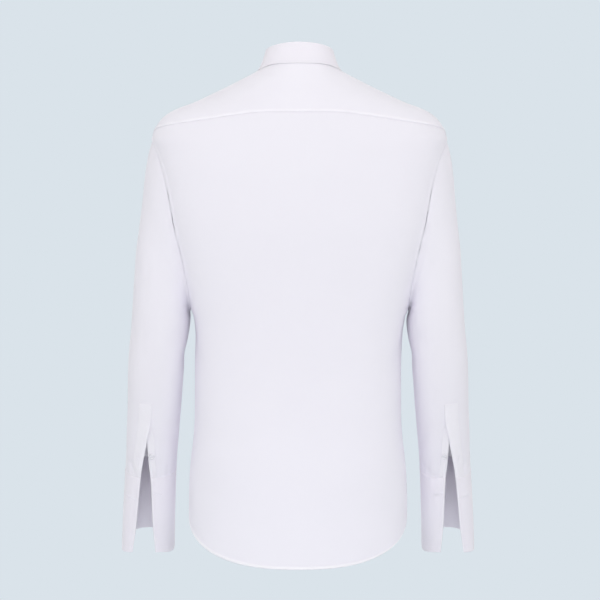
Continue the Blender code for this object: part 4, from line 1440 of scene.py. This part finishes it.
def lap_line(distance, v):
    """Level with the start of the lap, but for the last part at either end."""
    first_low, first_high = lap_ends(LAP_START)
    low, high = lap_ends(distance)
    length = centre_length(v, first_low, first_high)
    length += (low - first_low) * np.maximum(0.0, 1 - v / LAP_END)
    length += (high - first_high) * np.maximum(0.0, 1 - (1 - v) / LAP_END)
    return angle_before_front(distance, drop_at(length)), length


def build_front(side_name):
    def bottom(u):
        angle = mix(90.0, lap_angle(LAP_START, hem_drop), u)
        return angle, length_at(hem_drop(np.maximum(angle, FRONT_START)))

    def top(u):
        seam_share, neck_share = split(u, YOKE_FRONT_SHARE)
        angle, length = yoke_front_seam(seam_share)
        neck = mix(YOKE_FRONT_ANGLE, lap_angle(LAP_START, neck_drop), neck_share)
        tuck = np.degrees(TUCK / HALF_WIDTH(drop_at(length)))
        by_neck = (mix(YOKE_FRONT_ANGLE - tuck, neck, neck_share), length_at(neck_drop(neck)))
        return join(u, YOKE_FRONT_SHARE, (angle - tuck, length), by_neck)

    def left(v):
        return side_edge(v, -180.0, YOKE_FRONT_TURN)

    def right(v):
        return lap_line(LAP_START, v)

    plain = shares(FRONT_WIDTH, CELL, ARMHOLE_BAND, None)
    laps = np.linspace(LAP_START, -LAP, round((LAP_START + LAP) / STRIP_CELL) + 1)[1:]
    levels = shares(PANEL_HEIGHT, CELL, HEM_BAND, 0.0)
    main_part = patch(*np.meshgrid(plain, levels), bottom, top, left, right)
    lap_parts = zip(*[lap_line(distance, levels) for distance in laps])
    angle, length = [
        np.concatenate((grid, np.stack(columns, axis=1)), axis=1)
        for grid, columns in zip(main_part, lap_parts)
    ]
    drop = drop_at(length)
    base = body(angle, drop)
    arm = band(distance_to(base, ARMHOLE_LINE), ARMHOLE_BAND)
    rise = np.maximum(band(distance_to(base, HEM_FRONT_LINE), HEM_BAND), arm)
    seam_angle, seam_length = yoke_front_seam(SPREAD[::-1])
    inside = np.radians(np.interp(length, seam_length, seam_angle) - angle) * HALF_WIDTH(drop)
    above_seam = (length < seam_length[-1]) & (length > seam_length[0])
    rise *= 1 - under_yoke(inside) * above_seam
    tucked = np.zeros(angle.shape[1])
    slits, buttons = [], []
    if side_name == "right":
        tucked[len(plain):] = ease((LAP_START - laps) / LAP_TUCK)
    else:
        slits, buttons = front_buttons()
    side = SIDES[side_name]
    rows = [hem_row(*HEM_ROWS[side_name]), armhole_row(*ARMHOLE_ROWS["front"])]
    panel(
        "front_" + side_name, body,
        body(side * angle, drop, rise - (CLOTH + 2 * UNDER) * tucked),
        CLOTH + rise, on_side(side, rows), ["yoke"], flip=side > 0,
        layers=doubled_and_highlight(rise, arm), edges=("first_row", "last_column"),
        slits=slits, buttons=buttons,
    )


def front_buttons():
    """The buttonholes down the left front, and the buttons of the right that come through."""
    slits = []
    buttons = []
    for number in range(FRONT_BUTTONS):
        drop = FIRST_BUTTON_DROP + BUTTON_SPACING * number
        drops = mix(drop - FRONT_SLIT / 2, drop + FRONT_SLIT / 2, SPREAD)
        slits.append((level(180.0), drops, 0.0))
        low, high = body(np.full(2, 180.0), np.array((drop + SEAT_SPAN, drop - SEAT_SPAN)))
        seat = front_seat(low, high, (low + high) / 2)
        buttons.append((f"button_front_{number + 1}", BUTTON_RADIUS, *seat))
    return slits, buttons


# ---- the collar

def stand_height(angle):
    return STAND_HEIGHT + STAND_FRONT_RISE * np.maximum(-np.cos(np.radians(angle)), 0.0) ** 2


def stand_point(angle, share, out=0.0, up=0.0):
    """On the outside of the collar stand; share is 0 at the neck seam and 1 at the fold."""
    base = neck_drop(angle)
    height = stand_height(angle) * share
    radius = body_radius(angle, base) - STAND_LEAN * share + out
    turn = np.radians(angle)
    return stack(radius * np.sin(turn), radius * np.cos(turn), height - base + up)


def build_stand():
    end = lap_angle(-LAP, neck_drop)
    start = lap_angle(LAP_START, neck_drop)
    columns = np.linspace(-end, end, STAND_COLUMNS)
    angle, share = np.meshgrid(columns, np.linspace(STAND_FOOT, 1.0, STAND_ROWS))
    tucked = np.where(angle < 0, ease((-angle - start) / (180.0 - start)), 0.0)

    row_end = end - STAND_ROW_ANGLE
    up = mix(STAND_ROW_SHARE, 1 - STAND_ROW_SHARE, SPREAD)
    rows = [
        (mix(-start, row_end, SPREAD), level(STAND_ROW_SHARE), 0.0),
        (level(row_end), up, 0.0),
    ]
    low, high = stand_point(np.full(2, 180.0), np.array((0.0, 1.0)))
    button_share = (-COLLAR_BUTTON_DROP - low[2]) / (high[2] - low[2])
    seat = front_seat(low, high, mix(low, high, button_share))
    around = mix(180.0 - COLLAR_SLIT_ANGLE, 180.0 + COLLAR_SLIT_ANGLE, SPREAD)
    panel(
        "collar_stand", stand_point, stand_point(angle, share, -(FUSED + STAND_GAP) * tucked),
        FUSED, rows, ["yoke"], look="fused", edges=("last_column",),
        slits=[(around, level(button_share), 0.0)],
        buttons=[("button_collar", BUTTON_RADIUS, *seat)],
    )


def clear_of_neck(points, spread):
    """The points moved out where the stand, or the body below it, would touch the leaf."""
    radius = np.hypot(points[..., 0], points[..., 1])
    angle = np.degrees(np.arctan2(points[..., 0], points[..., 1]))
    drop = neck_drop(angle)
    height = points[..., 2] + drop
    on_body = body_radius(angle, np.maximum(-points[..., 2], drop))
    on_stand = body_radius(angle, drop)
    on_stand -= STAND_LEAN * np.minimum(height / stand_height(angle), 1.0)
    under = np.where(height < 0, on_body, on_stand)
    scale = np.maximum(1.0, (under + spread) / radius)
    return points * stack(scale, scale, 1.0)


def leaf_point(angle, t):
    """The collar leaf: t runs from its inner start over the fold and down to its edge."""
    share = np.abs(angle) / LEAF_FOLD_ANGLE
    along = stand_point(angle + 1, 1.0) - stand_point(angle - 1, 1.0)
    rise = LEAF_REACH * size(along) / np.hypot(along[..., 0], along[..., 1])
    turn = np.radians(mix(LEAF_ROLL_START, 90.0, np.minimum(t / LEAF_ROLL_SHARE, 1.0)))
    out = mix(-FUSED - LEAF_INNER_GAP, LEAF_REACH, (1 + np.sin(turn)) / 2)
    roll = stand_point(angle, 1.0, out, rise * np.cos(turn))
    edge_angle = np.copysign(LEAF_POINT_ANGLE * share, angle)
    start = stand_point(angle, 1.0, LEAF_REACH)
    bend = stand_point((angle + edge_angle) / 2, 0.0, LEAF_REACH + LEAF_BOW)
    lift = np.full(np.shape(angle), LEAF_LIFT)
    end = body(edge_angle, LEAF_EDGE_DROP(share), lift)
    fall = np.clip((t - LEAF_ROLL_SHARE) / (1 - LEAF_ROLL_SHARE), 0.0, 1.0)[..., None]
    fallen = start * (1 - fall) ** 2 + bend * (2 * fall * (1 - fall)) + end * fall**2
    near_edge = ease((fall[..., 0] - LEAF_SPREAD_START) / LEAF_SPREAD_LENGTH)
    spread = mix(LEAF_SPREAD, LEAF_EDGE_SPREAD, near_edge)
    return np.where(fall > 0, clear_of_neck(fallen, spread), roll)


def leaf_place(angle, t, lift):
    across = leaf_point(angle + LEAF_PROBE, t) - leaf_point(angle - LEAF_PROBE, t)
    down = leaf_point(angle, t - PROBE) - leaf_point(angle, t - 2 * PROBE)
    return leaf_point(angle, t) + unit(np.cross(across, down)) * np.asarray(lift)


def build_leaf():
    columns = LEAF_FOLD_ANGLE * np.linspace(-1.0, 1.0, LEAF_COLUMNS)
    rolls = np.linspace(0.0, LEAF_ROLL_SHARE, LEAF_ROLLS)
    falls = mix(LEAF_ROLL_SHARE, 1.0, shares(LEAF_HEIGHT, LEAF_CELL, last_band=0.0))[1:]
    points = leaf_point(*np.meshgrid(columns, np.concatenate((rolls, falls))[::-1]))
    taper = ease(edge_distance(points, ("first_row",)) / LEAF_TAPER)

    low_angle = mix(-LEAF_FOLD_ANGLE, LEAF_FOLD_ANGLE, SPREAD)
    levels = np.linspace(1.0, LEAF_ROLL_SHARE, LEAF_LEVELS)
    lengths = along_rows(leaf_point(*np.meshgrid(low_angle, levels, indexing="ij")))
    low_t = np.array([np.interp(LEAF_ROW, row, levels) for row in lengths])
    down = mix(LEAF_ROLL_SHARE + LEAF_ROW_MARGIN, 1.0 - PROBE, SPREAD)
    end_angle, end_t = inset(leaf_point, level(LEAF_FOLD_ANGLE), down, LEAF_ROW)
    keep_low = np.abs(low_angle) < end_angle[-1] + LEAF_ROW_OVERLAP
    keep_end = end_t < low_t[-1]
    rows = [(low_angle[keep_low], low_t[keep_low], 0.0)]
    rows += both_sides((end_angle[keep_end], end_t[keep_end], 0.0))
    panel(
        "collar_leaf", leaf_place, points, mix(LEAF_EDGE_WALL, FUSED, taper), rows,
        ["collar_stand"], look="fused", edges=("first_row", "first_column", "last_column"),
        held="folded",
    )


# ---- the sleeves

def cut_edges(step):
    """The angles of the sleeve's two cut edges, which meet at the top of the opening."""
    cut_angle = mix(ARMHOLE_CUT_ANGLE, CUT_ANGLE, ease(step / OPENING_TOP_STEP))
    return [
        cut_angle + (edge(step) - edge(OPENING_TOP_STEP)) for edge in (GAUNTLET_EDGE, UNDERLAP_EDGE)
    ]


def sleeve_angle(u, step):
    outer, inner = cut_edges(step)
    return mix(outer, inner - 360.0, u)


def pressed(step):
    """0 where a strip goes into the cuff, and 1 a little above it."""
    return ease((CUFF_SEAM_STEP - step) / CUFF_PRESS)


def arm_panel(kind, side_name, grid, thickness, rows, rests_on=None, **details):
    """A panel on a sleeve, from its grid's angles, steps and lift."""
    place = partial(sleeve, side_name)
    rests_on = rests_on or ["sleeve_" + side_name]
    flip = SIDES[side_name] < 0
    node = f"{kind}_{side_name}"
    panel(node, place, place(*grid), thickness, rows, rests_on, flip=flip, **details)


def build_sleeve(side_name):
    place = partial(sleeve, side_name)
    upper = OPENING_TOP_STEP * shares(SLEEVE_LENGTH, SLEEVE_CELL, first_band=SLEEVE_TOP_BAND)
    lower = np.linspace(OPENING_TOP_STEP, CUFF_SEAM_STEP + SLEEVE_IN_CUFF, OPENING_ROWS)[1:]
    seam_start = UNDERARM_SHARE - UNDERARM_SPREAD
    seam_end = UNDERARM_SHARE + UNDERARM_SPREAD
    outer_columns, seam_columns, inner_columns = SLEEVE_COLUMNS
    columns = np.concatenate((
        np.linspace(0.0, seam_start, outer_columns)[:-1],
        np.linspace(seam_start, seam_end, seam_columns),
        np.linspace(seam_end, 1.0, inner_columns)[1:],
    ))
    u, step = np.meshgrid(columns, np.concatenate((upper, lower)))
    angle = sleeve_angle(u, step)
    base = place(angle, step)
    seam_steps = mix(UNDERARM_START, CUFF_SEAM_STEP, SPREAD)
    seam_line = place(sleeve_angle(UNDERARM_SHARE, seam_steps), seam_steps)
    rise = band(distance_to(base, seam_line), UNDERARM_BAND) * ease(step / CLEARANCE_STEP)
    from_armhole = mirrored_distance(base, ARMHOLE_LINE) / HEAD_DIP_REACH
    below_shoulder = ease((1 - np.cos(np.radians(angle))) / HEAD_DIP_START)
    dip = HEAD_DIP * below_shoulder * from_armhole * np.exp(1 - from_armhole)
    lift = rise - dip - UNDER * (1 - ease(step / HEAD_UNDER_STEP))
    lift -= LAYER_GAP / 2 * ease((step - CUFF_SEAM_STEP + CUFF_SINK_STEP) / CUFF_SINK_STEP)

    row_steps = mix(*SLEEVE_ROW_STEPS, SPREAD)
    row_angles = sleeve_angle(UNDERARM_SHARE - SLEEVE_ROW_SHARE, row_steps)
    rows = [(row_angles, row_steps, SLEEVE_ROW_LIFT)]
    grid = (angle, step, lift)
    arm_panel("sleeve", side_name, grid, CLOTH + rise, rows, ["back", "yoke"], weld=True)


def gauntlet_lift(u, step):
    """The gauntlet lies over the underlap with its free half, which springs up a little."""
    over = (STRIP + LAYER_GAP) * (1 - ease((u - OVERLAP_SHARE) / OVERLAP_FADE))
    over *= ease((step - UNDERLAP_TOP_STEP + OVERLAP_START) / OVERLAP_RISE)
    first, last = GAUNTLET_SPRING_STEPS
    along = np.clip((step - first) / (last - first), 0.0, 1.0)
    free = 1 - ease(u / GAUNTLET_SPRING_SHARE)
    over += GAUNTLET_SPRING * np.sin(np.pi * along) ** 2 * free
    return mix(-LAYER_GAP, STRIP + LAYER_GAP + over, pressed(step))


def build_gauntlet(side_name):
    def row(angle, step):
        share = (GAUNTLET_EDGE(step) - angle) / GAUNTLET_ANGLE
        return angle, step, gauntlet_lift(share, step)

    top = shares(GAUNTLET_LENGTH, GAUNTLET_CELL, 0.0, None)
    steps = mix(GAUNTLET_TOP_STEP, CUFF_SEAM_STEP + STRIP_IN_CUFF, top)
    u, step = np.meshgrid(shares(GAUNTLET_WIDTH, STRIP_CELL, 0.0, 0.0), steps)
    grid = (GAUNTLET_EDGE(step) - GAUNTLET_ANGLE * u, step, gauntlet_lift(u, step))

    down = mix(GAUNTLET_ROW_STEPS[0], STRIP_ROW_END, SPREAD)
    rows = [
        row(*inset(smooth_sleeve, GAUNTLET_EDGE(down), down, STRIP_ROW)),
        row(*inset(smooth_sleeve, GAUNTLET_EDGE(down) - GAUNTLET_ANGLE, down, -STRIP_ROW)),
    ]
    for row_step in GAUNTLET_ROW_STEPS:
        first = float(GAUNTLET_EDGE(row_step))
        ends = (first - STRIP_ROW_ANGLE, first - GAUNTLET_ANGLE + STRIP_ROW_ANGLE)
        across = mix(*ends, np.linspace(0.0, 1.0, SHORT_ROW_POINTS))
        rows.append(row(across, np.full(SHORT_ROW_POINTS, row_step)))
    edges = ("first_row", "first_column", "last_column")
    slits = [slit_row(GAUNTLET_SLIT, 2 * STRIP)]
    arm_panel(
        "gauntlet", side_name, grid, STRIP, rows, layers=STRIP_LAYERS_AND_HIGHLIGHT, edges=edges, slits=slits
    )


def underlap_lift(step):
    return mix(-LAYER_GAP, STRIP + LAYER_GAP, pressed(step))


def build_underlap(side_name):
    steps = np.linspace(UNDERLAP_TOP_STEP, CUFF_SEAM_STEP + STRIP_IN_CUFF, UNDERLAP_ROWS)
    u, step = np.meshgrid(shares(UNDERLAP_WIDTH, STRIP_CELL, 0.0, 0.0), steps)
    angle = UNDERLAP_EDGE(step) + UNDERLAP_ANGLE * (1 - u)

    down = mix(UNDERLAP_ROW_START, STRIP_ROW_END, SPREAD)
    free = inset(smooth_sleeve, UNDERLAP_EDGE(down), down, -STRIP_ROW)
    button_angle = float(UNDERLAP_EDGE(PLACKET_BUTTON_STEP)) + PLACKET_BUTTON_ANGLE
    here = (np.array((button_angle,)), np.array((PLACKET_BUTTON_STEP,)))
    (middle,), (outward,) = run(partial(sleeve, side_name), *here, STRIP + LAYER_GAP)
    seat = (middle + outward * BUTTON_LIFT, outward)
    arm_panel(
        "underlap", side_name, (angle, step, underlap_lift(step)), STRIP,
        [(*free, underlap_lift(free[1]))],
        layers=STRIP_LAYERS_AND_HIGHLIGHT, edges=("first_column", "last_column"),
        buttons=[("button_placket_" + side_name, SMALL_BUTTON_RADIUS, *seat)],
    )


def build_cuff(side_name):
    steps = mix(CUFF_SEAM_STEP, CUFF_HEM_STEP, shares(CUFF_HEIGHT, SLEEVE_CELL, 0.0, 0.0))
    u, step = np.meshgrid(shares(CUFF_WIDTH, SLEEVE_CELL, 0.0, 0.0), steps)
    angle = mix(GAUNTLET_EDGE(step), UNDERLAP_EDGE(step) - 360.0, u)

    down = mix(*CUFF_ROW_STEPS, SPREAD)
    lines = [
        (GAUNTLET_EDGE(down), down, CUFF_ROW),
        (UNDERLAP_EDGE(down) - 360.0, down, -CUFF_ROW),
    ]
    for row_step, row, margin in CUFF_LEVEL_ROWS:
        first = float(UNDERLAP_EDGE(row_step)) - 360.0 + margin
        around = mix(first, float(GAUNTLET_EDGE(row_step)) - margin, SPREAD)
        lines.append((around, level(row_step), row))
    arm_panel(
        "cuff", side_name, (angle, step, CUFF_LIFT), FUSED,
        [(*inset(smooth_sleeve, *line), CUFF_LIFT) for line in lines], look="fused",
        edges=("first_row", "last_row", "first_column", "last_column"),
        slits=[slit_row(slit, CUFF_LIFT) for slit in CUFF_SLITS],
    )


# ---- camera, light and floor

def build_stage():
    scene = bpy.context.scene
    scene.view_settings.view_transform = "Standard"
    camera = bpy.data.cameras.new("camera")
    camera.sensor_width = SENSOR_WIDTH
    camera.lens = SENSOR_WIDTH * FOCAL_PIXELS / IMAGE_WIDTH
    turn = (math.radians(90), 0.0, math.radians(180))
    scene.camera = add_object("camera", camera, CAMERA_PLACE, turn)

    world = bpy.data.worlds.new("studio")
    world.use_nodes = True
    scene.world = world
    tree = world.node_tree
    path = add_node(tree, "ShaderNodeLightPath")
    colour = blend(tree, path.outputs["Is Camera Ray"], ROOM_LIGHT, BACKDROP)
    tree.links.new(colour, tree.nodes["Background"].inputs["Color"])

    for lamp in SOFTBOXES:
        light = bpy.data.lights.new(lamp.name, "AREA")
        light.size = lamp.size
        light.energy = lamp.power
        light.spread = math.radians(lamp.spread)
        aim = Vector(LIGHT_TARGET) - Vector(lamp.place)
        add_object(lamp.name, light, lamp.place, aim.to_track_quat("-Z", "Y").to_euler())

    bm = bmesh.new()
    bmesh.ops.create_circle(bm, cap_ends=True, segments=FLOOR_SIDES, radius=FLOOR_RADIUS)
    mesh = finish_mesh(bm, bpy.data.meshes.new("floor"))
    mesh.materials.append(floor_paint())
    add_object("floor", mesh, (0.0, 0.0, -FLOOR_DROP))


# ---- assembly

build_back()
build_yoke()
build_stand()
build_leaf()
for side_name in SIDES:
    for build in (build_front, build_sleeve, build_gauntlet, build_underlap, build_cuff):
        build(side_name)
build_stage()
